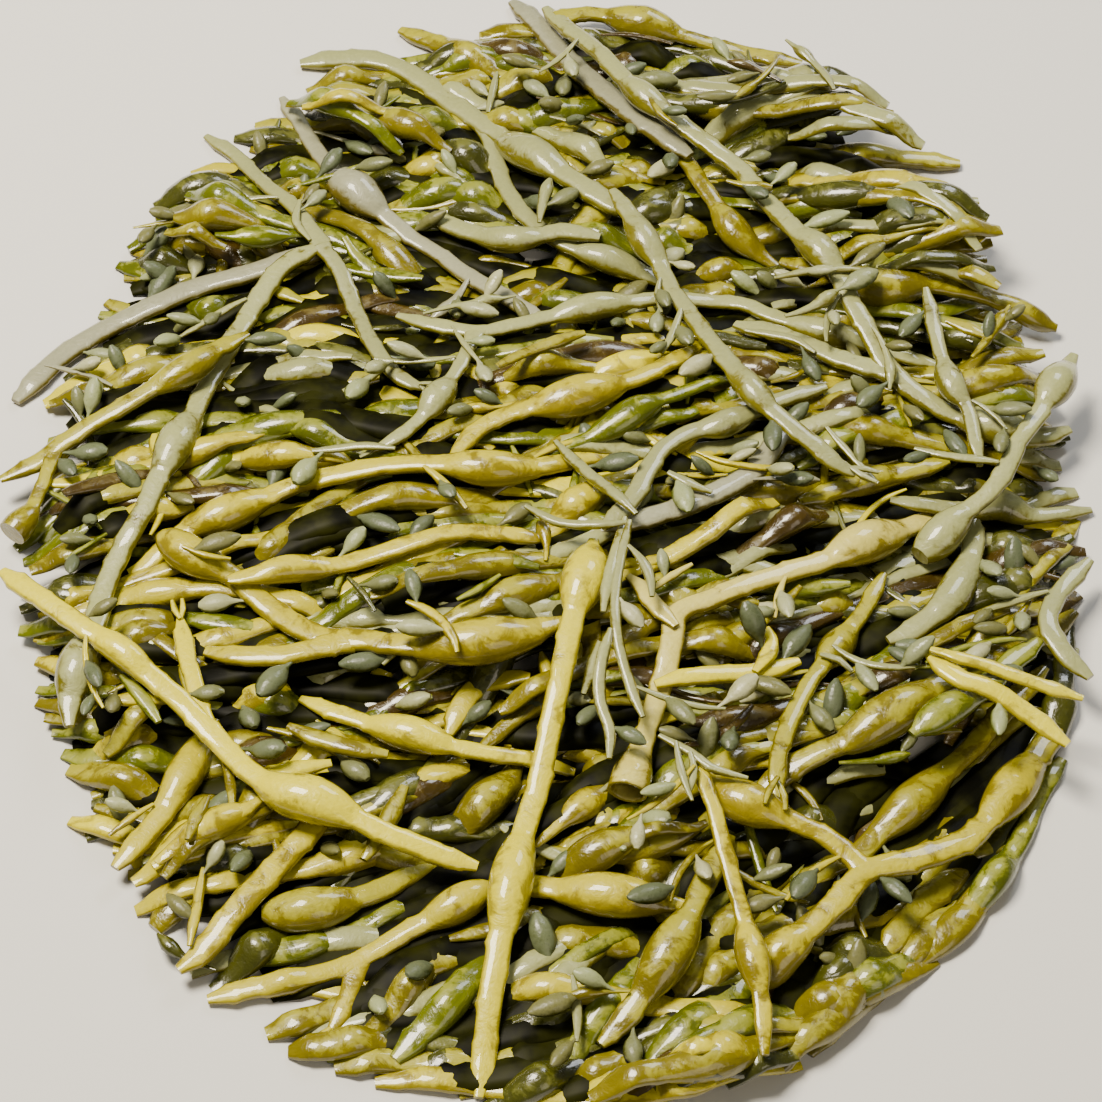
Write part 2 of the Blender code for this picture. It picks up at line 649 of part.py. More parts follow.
def strand_rings(shape, strand):
    """The rings of a strand from its start to its end, and on into a torn bladder."""
    rings = [strand_ring(shape, strand, i) for i in range(len(strand.arcs))]
    if strand.torn:
        last = len(strand.arcs) - 1
        size = strand.torn[0]
        rings.append(strand_ring(shape, strand, last, TORN_WALL))
        for depth, share in TORN_POCKET_RINGS:
            arc = strand.arcs[-1] - depth * TORN_FLOOR * size
            rings.append(strand_ring(shape, strand, last, TORN_WALL, arc, share))
    return rings


def build_strand(strand, collection):
    """Lofts a closed body through a strand's rings."""
    shape = bmesh.new()
    rings = strand_rings(shape, strand)
    for first, second in zip(rings, rings[1:]):
        for k in range(len(SECTION)):
            following = (k + 1) % len(SECTION)
            shape.faces.new((first[k], first[following], second[following], second[k]))
    shape.faces.new(list(reversed(rings[0])))
    shape.faces.new(rings[-1])
    bmesh.ops.recalc_face_normals(shape, faces=shape.faces)
    mesh = bpy.data.meshes.new(strand.name)
    shape.to_mesh(mesh)
    shape.free()
    material = finish(strand.name, strand.colour, WET_ROUGHNESS)
    return add_object(strand.name, mesh, material, collection)


def build_holdfast(collection):
    """A low lobed dome with a flat underside, cut where it left the rock."""
    shape = bmesh.new()
    bmesh.ops.create_uvsphere(shape, u_segments=28, v_segments=8, radius=1.0)
    for vertex in shape.verts:
        angle = math.atan2(vertex.co.y, vertex.co.x)
        reach = holdfast_outline(angle)
        vertex.co.x *= reach
        vertex.co.y *= reach
        vertex.co.z *= HOLDFAST_HEIGHT * (1 - 0.06 * math.sin(3 * angle + 1))
    below = [vertex for vertex in shape.verts if vertex.co.z < -1e-6]
    bmesh.ops.delete(shape, geom=below, context="VERTS")
    rim = [edge for edge in shape.edges if edge.is_boundary]
    for edge in rim:
        for vertex in edge.verts:
            vertex.co.z = 0.0
    bmesh.ops.edgeloop_fill(shape, edges=rim)
    bmesh.ops.recalc_face_normals(shape, faces=shape.faces)
    mesh = bpy.data.meshes.new("holdfast")
    shape.to_mesh(mesh)
    shape.free()
    return add_object("holdfast", mesh, finish("holdfast", HOLDFAST_BROWN, HOLDFAST_ROUGHNESS),
                      collection)


def clear_scene():
    for item in list(bpy.data.objects):
        bpy.data.objects.remove(item, do_unlink=True)


def main():
    clear_scene()
    collection = bpy.data.collections.new("rockweed")
    bpy.context.scene.collection.children.link(collection)
    field = Field()
    mark_holdfast(field)
    build_holdfast(collection)
    strands = lay_main_shoots(field)
    for shoot in UPPER_SHOOTS:
        strands += lay_shoot(shoot, field)
    for strand in strands:
        build_strand(strand, collection)


main()
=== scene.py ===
"""The looks of the rockweed: fine fronds on the frame's solids, and what fills the tangle.

Metres, +Z up. Each frond of the frame is laid again by the same rules and then swept at fine
steps. Thinner fronds, side shoots and receptacles fill the hollows between them.
"""
import math
import random

import bpy
import mathutils
import numpy as np
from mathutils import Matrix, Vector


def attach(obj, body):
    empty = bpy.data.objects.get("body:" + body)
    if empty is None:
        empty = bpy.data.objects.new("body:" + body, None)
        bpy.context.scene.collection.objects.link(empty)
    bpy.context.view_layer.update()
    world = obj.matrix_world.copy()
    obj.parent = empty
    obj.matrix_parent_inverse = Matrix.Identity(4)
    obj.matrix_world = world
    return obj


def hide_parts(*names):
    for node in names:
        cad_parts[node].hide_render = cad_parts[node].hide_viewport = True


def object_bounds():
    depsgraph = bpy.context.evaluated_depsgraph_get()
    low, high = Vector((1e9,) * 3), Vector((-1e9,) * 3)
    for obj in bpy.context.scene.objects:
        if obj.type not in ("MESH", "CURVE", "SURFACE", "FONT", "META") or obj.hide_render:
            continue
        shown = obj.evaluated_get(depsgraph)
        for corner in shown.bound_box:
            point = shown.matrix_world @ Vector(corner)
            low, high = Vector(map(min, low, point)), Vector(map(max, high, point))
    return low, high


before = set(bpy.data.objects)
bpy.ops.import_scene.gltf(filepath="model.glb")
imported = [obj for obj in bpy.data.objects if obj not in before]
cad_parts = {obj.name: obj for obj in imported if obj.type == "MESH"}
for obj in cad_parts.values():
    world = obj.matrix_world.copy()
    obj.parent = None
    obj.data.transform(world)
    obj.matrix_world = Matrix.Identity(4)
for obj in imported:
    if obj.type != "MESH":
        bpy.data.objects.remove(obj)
CAD_BOX = [list(corner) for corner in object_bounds()]

MM = 0.001

# The view that the upper shoots' routes were read from: pixels of a square frame, whose
# middle looks at AIM from VIEW_ELEVATION above the ground.
PHOTO_SIDE = 1102.0
PHOTO_SPAN = 370 * MM
VIEW_ELEVATION = math.radians(50)
VIEW_DISTANCE = 1.0
AIM = np.array([0.0, -45 * MM, 40 * MM])

# The tangle: its height at the rim and in the middle, as a first guess for the sight lines.
RIM_HEIGHT = 10 * MM
MIDDLE_HEIGHT = 36 * MM

# Stems and bladders.
STEM_FLATNESS = 0.50
BLADDER_FLATNESS = 0.82
TIP_TAPER_LENGTH = 9 * MM
TIP_WIDTH_RATIO = 0.45
RING_SPACING = 21 * MM
RING_MINIMUM = 3.5 * MM
BLADDER_RINGS = (-1.0, -0.5, 0.0, 0.5, 1.0)
BLADDER_FULLNESS = 0.85

# The torn bladder: where its rings lie along it, how soon it is at its full width and how
# deep it is open, as shares of its length, and how thick its wall is.
TORN_RINGS = (0.0, 0.25, 0.5, 0.75)
TORN_SWELLING_SHARE = 0.7
TORN_WALL = 1.3 * MM
TORN_FLOOR = 0.8

# How shoots lie on each other.
LAY_GAP = 0.6 * MM
LAY_STEP = 2 * MM
LAY_BEND_RADIUS = 150 * MM
LAY_PASSES = 3
LIFT_TRIES = 40
FIELD_CELL = 1.5 * MM
FIELD_LOW = np.array([-290 * MM, -360 * MM])
FIELD_SIZE = (390, 500)
FORK_GAP = 1.0 * MM
FORK_BASE_HALF_WIDTH = 1.5 * MM

# The holdfast, a lobed disc cut flat underneath.
HOLDFAST_RADIUS = 25 * MM
HOLDFAST_HEIGHT = 15 * MM
HOLDFAST_LOBES = 7
HOLDFAST_LOBE_DEPTH = 0.12

# The long shoots that leave the holdfast along the ground. Angles are in radians.
MAIN_SHOOTS = 14
MAIN_SHOOT_GAP = 1.5 * MM
MAIN_ANGLE_SPREAD = 0.3
MAIN_LIE_SPREAD = 0.45
MAIN_STRAIGHT = (30 * MM, 150 * MM)
MAIN_STRAIGHT_LEAST = 10 * MM
MAIN_TURN_MOST = 0.16
MAIN_SWAY = 0.05
MAIN_SWAY_LENGTH = 26 * MM
MAIN_SHOOT_LENGTH = (260 * MM, 330 * MM)
MAIN_SHOOT_WIDTH = (7 * MM, 9 * MM)
MAIN_BLADDER_START = (35 * MM, 60 * MM)
MAIN_BLADDER_END = 18 * MM
MAIN_BLADDER_SPACING = (62 * MM, 85 * MM)
MAIN_BLADDER_LENGTH = (28 * MM, 36 * MM)
MAIN_BLADDER_WIDTH = (13 * MM, 16 * MM)
MAIN_STEP = 12 * MM
MAT_HALF_WIDTH = 184 * MM
MAT_HALF_DEPTH = 232 * MM
SEED = 11


# Surface colours, each as (wet body colour, painted sheen colour, how much of the frond the
# painted sheen covers), sRGB. The painted sheen is a pale sky reflection painted on up-facing tops.
OLIVE = ("746A02", "9E9818", 0.26)
MUSTARD = ("8C7E02", "BEB20E", 0.35)
YELLOW = ("AEA000", "D6CA06", 0.43)
SAGE = ("6E6812", "979A62", 0.52)
GREY = ("665C1C", "969678", 0.62)
TAN = ("94840C", "D0C45E", 0.58)
GREEN = ("5A6204", "8A8E28", 0.24)
DARK = ("3C3E0A", "62641F", 0.2)
BROWN = ("40320A", "5E521E", 0.14)


class Shoot:
    """One upper shoot as it is read from the view.

    route is a list of pixels, width the stem's width, and each bladder is
    (pixel across, pixel down, length, width), with its lengths in millimetres. torn is the
    length and width of a bladder that has torn open at the shoot's end.
    """

    def __init__(self, name, colour, width, route, bladders=(), branches=(), torn=None):
        self.name = name
        self.colour = colour
        self.width = width * MM
        self.route = route
        self.bladders = bladders
        self.branches = branches
        self.torn = torn


# The upper shoots in the order in which they lie, the lowest first.
UPPER_SHOOTS = [
    Shoot("grey_bladder", GREY, 7,
          [(282, 98), (300, 125), (316, 150), (332, 170), (356, 192), (385, 216), (411, 238),
           (440, 258), (480, 282), (520, 305), (548, 322)],
          [(356, 192, 32, 17.5)]),
    Shoot("left_rim", GREY, 8.6,
          [(16, 402), (45, 372), (75, 348), (116, 323), (158, 302), (200, 286), (245, 274),
           (292, 258), (332, 250)]),
    Shoot("upper_left", SAGE, 9.5,
          [(300, 64), (340, 60), (380, 62), (422, 82), (455, 106), (492, 130), (528, 152),
           (565, 175), (604, 200), (636, 216)],
          [(530, 153, 36, 16.5)],
          [Shoot("branch", SAGE, 7,
                 [(492, 130), (495, 155), (502, 180), (514, 203), (536, 226), (565, 246),
                  (611, 262), (645, 275), (672, 289)],
                 [(611, 262, 27, 12)])]),
    Shoot("mid_mustard", MUSTARD, 7,
          [(452, 458), (478, 430), (505, 415), (540, 405), (577, 396), (615, 385), (641, 377),
           (670, 362), (700, 347)],
          [(577, 396, 36, 16.5)]),
    Shoot("pale_band", GREY, 8.6,
          [(600, 530), (619, 524), (651, 517), (683, 507), (721, 491), (756, 470), (776, 440),
           (786, 415)]),
    Shoot("right_dark", OLIVE, 7.8,
          [(780, 262), (832, 272), (880, 288), (930, 284), (965, 290), (1000, 301),
           (1028, 314), (1057, 330)],
          [(885, 288, 38, 16.5), (1028, 314, 21, 10)]),
    Shoot("left_middle", MUSTARD, 7.8,
          [(128, 572), (150, 560), (188, 528), (225, 513), (262, 498), (300, 482), (345, 472),
           (400, 463), (450, 463), (491, 467), (535, 466), (575, 460), (620, 455)],
          [(225, 513, 31, 14.5), (491, 467, 33, 14.5)]),
    Shoot("centre_fork", MUSTARD, 8.6,
          [(566, 620), (545, 627), (522, 634), (478, 641), (430, 645), (395, 643), (362, 640),
           (330, 639), (300, 628), (275, 610), (250, 590), (225, 570), (190, 553), (160, 532)],
          [(478, 641, 42, 17.5), (190, 552, 29, 14.5)],
          [Shoot("branch", MUSTARD, 7.8,
                 [(345, 641), (318, 648), (285, 655), (245, 656), (205, 652)])]),
    Shoot("lower_bladder", MUSTARD, 7.8,
          [(503, 878), (536, 884), (565, 888), (612, 893), (655, 899), (690, 905)],
          [(612, 893, 35, 15.5)]),
    Shoot("lower_right_bladder", OLIVE, 7.8,
          [(730, 836), (715, 862), (700, 890), (688, 918), (668, 955), (645, 990), (625, 1018),
           (600, 1045)],
          [(668, 955, 32, 15.5)]),
    Shoot("low_left_bladder", OLIVE, 7.8,
          [(262, 913), (309, 910), (350, 900), (385, 888), (420, 868), (438, 846)],
          [(309, 910, 32, 15.5)]),
    Shoot("left_slant", MUSTARD, 8.6,
          [(178, 970), (205, 948), (235, 910), (262, 880), (290, 850), (314, 826),
           (332, 804)]),
    Shoot("rim_low_left", MUSTARD, 7.8,
          [(215, 720), (200, 745), (183, 776), (165, 808), (140, 840), (115, 868)],
          [(185, 772, 31, 13)]),
    Shoot("right_pair_upper", OLIVE, 8.6,
          [(1075, 612), (1030, 640), (965, 672), (930, 690), (888, 716), (850, 740),
           (820, 752), (786, 770), (752, 800)],
          [(888, 716, 38, 16.5)]),
    Shoot("right_pair_lower", OLIVE, 7.8,
          [(1048, 655), (1015, 690), (975, 728), (945, 750), (915, 778), (885, 805),
           (860, 830), (828, 848), (790, 880)],
          [(917, 776, 33, 14.5)]),
    Shoot("left_fan", SAGE, 7.8,
          [(322, 246), (300, 256), (278, 272), (258, 300), (242, 325), (222, 360), (205, 390),
           (192, 415), (176, 443), (160, 475), (143, 510), (122, 550), (105, 590), (95, 625),
           (78, 665), (70, 700), (70, 727)],
          [(178, 440, 30, 14.5), (78, 664, 27, 14.5)],
          [Shoot("branch_down", SAGE, 6.2,
                 [(318, 246), (335, 262), (348, 290), (362, 325), (380, 355), (400, 378),
                  (424, 388)]),
           Shoot("branch_up", SAGE, 6.2,
                 [(324, 246), (308, 226), (290, 203), (265, 184), (240, 160), (206, 136)])]),
    Shoot("far_left_fork", OLIVE, 7,
          [(0, 480), (38, 462), (62, 445), (90, 425), (120, 408), (150, 390), (190, 368),
           (216, 350), (248, 334)],
          [(188, 369, 29, 13)],
          [Shoot("branch", OLIVE, 5.4,
                 [(55, 450), (46, 475), (32, 508), (12, 534)],
                 [(16, 528, 20, 12)])]),
    Shoot("cross_fork", SAGE, 6.2,
          [(397, 316), (439, 326), (475, 332), (506, 327), (545, 317), (590, 306), (640, 299),
           (680, 296), (737, 303), (775, 318), (832, 334), (875, 347), (905, 357), (945, 368)],
          [(592, 306, 30, 12), (830, 334, 32, 11)],
          [Shoot("branch", SAGE, 5.4,
                 [(475, 332), (464, 358), (452, 378), (438, 397), (420, 420), (398, 437),
                  (372, 452)],
                 [(438, 397, 20, 12)])]),
    Shoot("short_twin", OLIVE, 6.2,
          [(884, 574), (866, 608), (850, 630), (834, 650), (815, 675), (800, 700),
           (786, 730), (778, 755), (778, 778), (776, 800)],
          [(836, 647, 21, 12)]),
    Shoot("low_right_fork", MUSTARD, 8.6,
          [(760, 985), (778, 957), (800, 938), (838, 902), (866, 873), (905, 862),
           (940, 852), (970, 838), (992, 815), (1012, 790), (1032, 763), (1046, 742),
           (1062, 722)],
          [(777, 957, 24, 14.5), (1012, 789, 31, 15.5)],
          [Shoot("branch", MUSTARD, 7,
                 [(866, 873), (838, 846), (805, 828), (775, 815), (745, 803), (715, 788),
                  (698, 768)],
                 [(742, 802, 30, 15.5)])]),
    Shoot("top_olive", OLIVE, 7,
          [(630, 121), (660, 132), (683, 156), (702, 182), (720, 208), (738, 232), (760, 252),
           (780, 268)],
          [(738, 230, 26, 13)]),
    Shoot("top_band", GREY, 9.5,
          [(512, 2), (551, 40), (590, 80), (630, 112), (668, 140), (690, 156)]),
    Shoot("long_right", SAGE, 7.8,
          [(545, 8), (572, 32), (598, 52), (620, 75), (645, 97), (676, 121), (712, 148),
           (742, 172), (768, 203), (792, 228), (820, 251), (838, 275), (850, 300), (866, 330),
           (888, 366), (915, 393), (950, 414), (997, 426), (1035, 437), (1070, 430)],
          [(645, 97, 24, 12), (820, 250, 24, 13), (999, 426, 29, 15.5)],
          [Shoot("branch", SAGE, 7.8,
                 [(892, 372), (850, 362), (815, 349), (775, 333), (735, 320)]),
           Shoot("branch_top", OLIVE, 7.8,
                 [(558, 20), (585, 14), (612, 17), (645, 24), (690, 38), (730, 50), (770, 58),
                  (802, 64)],
                 [(645, 24, 32, 16.5)])]),
    Shoot("low_left_fork", MUSTARD, 7,
          [(205, 986), (250, 978), (280, 975), (315, 970), (350, 963), (385, 945), (420, 925),
           (464, 900), (492, 884)],
          [(282, 975, 14, 8.5), (462, 901, 25, 13)],
          [Shoot("branch", MUSTARD, 6.2,
                 [(350, 963), (350, 988), (342, 1012), (328, 1036)])]),
    Shoot("long_left", YELLOW, 7.8,
          [(2, 573), (40, 598), (80, 625), (120, 650), (150, 675), (182, 703), (212, 735),
           (245, 768), (280, 790), (315, 800), (350, 815), (390, 835), (430, 850), (478, 866)],
          [(122, 652, 22, 10.5), (310, 796, 35, 16.5)],
          [Shoot("branch", YELLOW, 6.2,
                 [(203, 722), (196, 690), (188, 660), (180, 618)])]),
    Shoot("right_olive_fork", TAN, 7.8,
          [(957, 503), (930, 511), (905, 522), (866, 541), (825, 561), (790, 570), (750, 583), (715, 597),
           (678, 612), (672, 640), (665, 670), (655, 705), (645, 738), (636, 762), (627, 792)],
          [(866, 541, 35, 16.5)], torn=(21, 13.5)),
    Shoot("node_cross", SAGE, 6.2,
          [(892, 487), (940, 486), (975, 484), (1004, 475), (1040, 484), (1098, 480)],
          [(1004, 476, 27, 13)]),
    Shoot("far_right", SAGE, 7,
          [(1074, 356), (1056, 384), (1038, 415), (1020, 440), (1006, 468), (990, 492),
           (965, 512), (940, 536), (920, 556)],
          [(1056, 383, 26, 14.5), (941, 534, 26, 14.5)]),
    Shoot("right_thin", SAGE, 5.4,
          [(924, 300), (935, 335), (950, 382), (968, 410), (975, 440), (980, 466)],
          [(950, 381, 21, 11)]),
    Shoot("elbow", SAGE, 7,
          [(826, 386), (780, 400), (750, 412), (722, 424), (690, 432), (663, 448), (647, 472),
           (635, 495), (618, 514), (602, 528)],
          [(724, 423, 19, 11)]),
    Shoot("diagonal", SAGE, 7,
          [(612, 190), (630, 215), (645, 241), (658, 262), (673, 290), (692, 315), (712, 342),
           (732, 366), (751, 388), (770, 408), (790, 425), (812, 443), (835, 462), (856, 474)],
          [(645, 240, 25, 12), (751, 388, 24, 11)]),
    Shoot("slim_low", MUSTARD, 5.4,
          [(693, 757), (707, 788), (722, 838), (735, 888), (745, 925), (752, 955), (760, 990),
           (763, 1020), (765, 1056)],
          [(752, 955, 24, 11)]),
    Shoot("mustard_low", YELLOW, 6.2,
          [(300, 700), (335, 712), (370, 722), (411, 732), (450, 744), (490, 752), (530, 758),
           (575, 772)],
          [(411, 731, 30, 13)]),
    Shoot("centre_down", YELLOW, 7.8,
          [(594, 540), (586, 572), (574, 612), (566, 650), (556, 700), (545, 752), (530, 810),
           (515, 862), (507, 905), (498, 950), (490, 1005), (484, 1055), (478, 1098)],
          [(584, 576, 31, 16.5), (511, 880, 37, 14.5)]),
]


def sight_points(pixels, heights):
    """Where the sight lines through some pixels pass the given heights, as x and y."""
    back = np.array([0.0, -math.cos(VIEW_ELEVATION), math.sin(VIEW_ELEVATION)])
    upward = np.array([0.0, math.sin(VIEW_ELEVATION), math.cos(VIEW_ELEVATION)])
    across = (pixels[:, 0] / PHOTO_SIDE - 0.5) * PHOTO_SPAN
    rise = (0.5 - pixels[:, 1] / PHOTO_SIDE) * PHOTO_SPAN
    eye = AIM + back * VIEW_DISTANCE
    target = AIM + rise[:, None] * upward
    target[:, 0] += across
    ray = target - eye
    reach = (heights - eye[2]) / ray[:, 2]
    return (eye + ray * reach[:, None])[:, :2]


def mound_heights(pixels):
    """A first guess of the tangle's height on each pixel's sight line."""
    middle = PHOTO_SIDE / 2
    off_middle = np.hypot(pixels[:, 0] - middle, pixels[:, 1] - middle) / middle
    return RIM_HEIGHT + (MIDDLE_HEIGHT - RIM_HEIGHT) * np.clip(1 - off_middle ** 2, 0, 1)


def smooth_path(points, step):
    """A Catmull-Rom curve through the points, read off at an even step."""
    before = 2 * points[0] - points[1]
    after = 2 * points[-1] - points[-2]
    guide = np.vstack([before, points, after])
    fine = []
    for i in range(1, len(guide) - 2):
        a, b, c, d = guide[i - 1:i + 3]
        for t in np.linspace(0, 1, 16, endpoint=False):
            fine.append(0.5 * (2 * b + (c - a) * t + (2 * a - 5 * b + 4 * c - d) * t * t
                               + (3 * b - a - 3 * c + d) * t ** 3))
    fine = np.array(fine + [guide[-2]])
    arc = arc_lengths(fine)
    even = np.linspace(0, arc[-1], max(8, int(arc[-1] / step)))
    return read_rows(even, arc, fine)


def read_rows(at, arcs, rows):
    """Rows of numbers read off at some distances, from the rows at other distances."""
    return np.column_stack([np.interp(at, arcs, column) for column in rows.T])


def section_rows(centres, sides, half_width, half_height, places):
    """Lines of places along a strand, each at a share of its half width from the middle.

    Each comes with how far the skin is above and below the middle there.
    """
    for place in places:
        yield (centres + sides * (place * half_width)[:, None],
               half_height * math.sqrt(1 - place * place))


def arc_lengths(points):
    """The distance along a row of points, from its start to each."""
    return np.concatenate([[0], np.cumsum(np.linalg.norm(np.diff(points, axis=0), axis=1))])


def side_directions(points):
    """The level direction square to a path at each of its points."""
    along = np.gradient(points, axis=0)
    along /= np.linalg.norm(along, axis=1)[:, None]
    return np.column_stack([-along[:, 1], along[:, 0]])


def swollen(half_width, half_height, breadth, swell):
    """A stem's half sizes with part of a bladder's added: swell is 1 where it is widest."""
    wide = half_width + (breadth / 2 - half_width) * swell
    tall = half_height + (breadth / 2 * BLADDER_FLATNESS - half_height) * swell
    return np.maximum(half_width, wide), np.maximum(half_height, tall)


class Field:
    """The height of what lies on the ground so far, in a grid of cells."""

    def __init__(self):
        self.height = np.zeros(FIELD_SIZE)

    def cells(self, points):
        """The four cells round each point."""
        place = (points - FIELD_LOW) / FIELD_CELL
        low = np.clip(np.floor(place).astype(int), 0, np.array(FIELD_SIZE) - 2)
        return [(low[..., 0] + i, low[..., 1] + j) for i in (0, 1) for j in (0, 1)]

    def read(self, points):
        return np.max([self.height[cell] for cell in self.cells(points)], axis=0)

    def add(self, points, tops):
        for cell in self.cells(points):
            np.maximum.at(self.height, cell, tops)


class Strand:
    """A stem with its bladders: rings along a path, each with a place and two half sizes."""

    def __init__(self, name, colour, points, width, bladders, torn=None):
        self.name = name
        self.colour = colour
        self.width = width
        self.bladders = bladders
        self.torn = torn
        self.limits = None
        self.set_path(points)

    def set_path(self, points):
        """Puts rings on a path: at its ends, on its bladders, and evenly between."""
        self.path = points
        self.path_arc = arc_lengths(points)
        length = self.path_arc[-1]
        self.bladder_arcs = [(self.nearest_arc(centre), size, breadth)
                             for centre, size, breadth in self.bladders]
        wanted = [0, TIP_TAPER_LENGTH, length - TIP_TAPER_LENGTH, length]
        for arc, size, _ in self.bladder_arcs:
            wanted = [w for w in wanted if abs(w - arc) > size / 2 or w in (0, length)]
            wanted += [arc + place * size / 2 for place in BLADDER_RINGS]
        if self.torn:
            wanted = [w for w in wanted if w < length - self.torn[0] or w == length]
            wanted += [length - self.torn[0] * (1 - place) for place in TORN_RINGS]
        wanted = sorted(w for w in wanted if 0 <= w <= length)
        rings = [wanted[0]]
        for w in wanted[1:]:
            if w - rings[-1] < RING_MINIMUM:
                if w == length:
                    rings[-1] = w
                continue
            extra = int((w - rings[-1]) / RING_SPACING)
            rings += list(np.linspace(rings[-1], w, extra + 2)[1:])
        self.arcs = np.array(rings)
        self.centres = self.at(self.arcs)
        sides = read_rows(self.arcs, self.path_arc, side_directions(self.path))
        self.sides = sides / np.linalg.norm(sides, axis=1)[:, None]
        self.half_width, self.half_height = self.sizes(self.arcs)

    def nearest_arc(self, point):
        return self.path_arc[np.argmin(np.linalg.norm(self.path - point, axis=1))]

    def at(self, arcs):
        return read_rows(arcs, self.path_arc, self.path)

    def sizes(self, arcs):
        """Half widths and half heights: a tapered stem with its bladders swollen in it."""
        length = self.path_arc[-1]
        from_end = arcs if self.torn else np.minimum(arcs, length - arcs)
        taper = TIP_WIDTH_RATIO + (1 - TIP_WIDTH_RATIO) * np.clip(from_end / TIP_TAPER_LENGTH, 0, 1)
        half_width = taper * self.width / 2
        if self.limits is not None:
            half_width = np.minimum(half_width, np.interp(arcs, *self.limits))
        half_height = half_width * STEM_FLATNESS
        for arc, size, breadth in self.bladder_arcs:
            place = np.clip((arcs - arc) / (size / 2), -1, 1)
            swell = np.cos(place * math.pi / 2) ** BLADDER_FULLNESS
            half_width, half_height = swollen(half_width, half_height, breadth, swell)
        if self.torn:
            size, breadth = self.torn
            place = np.clip((arcs - length + size) / (TORN_SWELLING_SHARE * size), 0, 1)
            swell = np.sin(place * math.pi / 2) ** 2
            half_width, half_height = swollen(half_width, half_height, breadth, swell)
        return half_width, half_height

    def samples(self):
        """Close samples along the straight runs between the rings."""
        count = max(4, int(self.arcs[-1] / LAY_STEP))
        fine = np.union1d(np.linspace(self.arcs[0], self.arcs[-1], count), self.arcs)
        return fine, *self.between_rings(fine)

    def between_rings(self, fine):
        """Middles, side directions and half sizes on the straight runs between the rings."""
        return (read_rows(fine, self.arcs, self.centres), read_rows(fine, self.arcs, self.sides),
                np.interp(fine, self.arcs, self.half_width),
                np.interp(fine, self.arcs, self.half_height))

    def lay(self, field, least=()):
        """Sets the rings' heights so that the strand lies on the field in gentle curves.

        least lists (arc, height) pairs that it must not run under.
        """
        fine, centres, sides, half_width, half_height = self.samples()
        need = half_height.copy()
        for points, depth in section_rows(centres, sides, half_width, half_height,
                                          np.linspace(-1, 1, 9)):
            need = np.maximum(need, field.read(points) + LAY_GAP * (field.read(points) > 0) + depth)
        for arc, height in least:
            need[np.argmin(np.abs(fine - arc))] = max(height, need[np.argmin(np.abs(fine - arc))])
        away = self.arcs[:, None] - fine[None, :]
        self.heights = np.max(need[None, :] - away ** 2 / (2 * LAY_BEND_RADIUS), axis=1)
        for _ in range(LIFT_TRIES):
            short = need - np.interp(fine, self.arcs, self.heights)
            worst = int(np.argmax(short))
            if short[worst] <= 1e-6:
                break
            ring = np.clip(np.searchsorted(self.arcs, fine[worst]), 1, len(self.arcs) - 1)
            self.heights[ring - 1:ring + 1] += short[worst] + 1e-6

    def mark(self, field):
        """Adds the strand's upper side to the field."""
        count = max(8, int(self.arcs[-1] / (0.7 * MM)))
        fine = np.linspace(self.arcs[0], self.arcs[-1], count)
        heights = np.interp(fine, self.arcs, self.heights)
        for points, depth in section_rows(*self.between_rings(fine), np.linspace(-1, 1, 25)):
            field.add(points, heights + depth)


def branch_limits(strand, stem):
    """Where a branch's narrow base first clears its stem's flank, and how wide it may be."""
    _, centres, _, half_width, _ = stem.samples()
    gaps = []
    for point in strand.path:
        away = np.linalg.norm(centres - point, axis=1) - half_width
        gaps.append(away.min() - FORK_GAP)
    gaps = np.array(gaps)
    start = int(np.argmax(gaps > FORK_BASE_HALF_WIDTH))
    return start, gaps


def read_strand(shoot, heights):
    """A strand along a shoot's route, with the route's points at the given heights."""
    pixels = np.array(shoot.route, float)
    points = smooth_path(sight_points(pixels, heights), LAY_STEP)
    swellings = []
    for across, down, size, breadth in shoot.bladders:
        spot = np.array([[across, down]], float)
        nearest = int(np.argmin(np.linalg.norm(pixels - spot, axis=1)))
        centre = sight_points(spot, heights[nearest:nearest + 1])[0]
        swellings.append((centre, size * MM, breadth * MM))
    torn = shoot.torn and (shoot.torn[0] * MM, shoot.torn[1] * MM)
    return Strand("shoot_" + shoot.name, shoot.colour, points, shoot.width, swellings, torn)


def route_heights(strand, shoot, heights):
    """The laid strand's heights at its route's points."""
    spots = sight_points(np.array(shoot.route, float), heights)
    return np.array([np.interp(strand.nearest_arc(spot), strand.arcs, strand.heights)
                     for spot in spots])


def lay_shoot(shoot, field):
    """Lays an upper shoot and its branches, and keeps them on their sight lines.

    Where a branch has to start higher than its stem lies, it lifts the stem at the fork, so
    they are laid twice.
    """
    lifts = []
    for _ in range(2):
        heights = mound_heights(np.array(shoot.route, float))
        for _ in range(LAY_PASSES):
            stem = read_strand(shoot, heights)
            stem.lay(field, lifts)
            heights = route_heights(stem, shoot, heights)
        laid = [stem]
        lifts = []
        for branch in shoot.branches:
            strand, fork_arc = lay_branch(shoot, branch, stem, heights, field)
            laid.append(strand)
            lifts.append((fork_arc, strand.heights[0]))
    for strand in laid:
        strand.mark(field)
    return laid


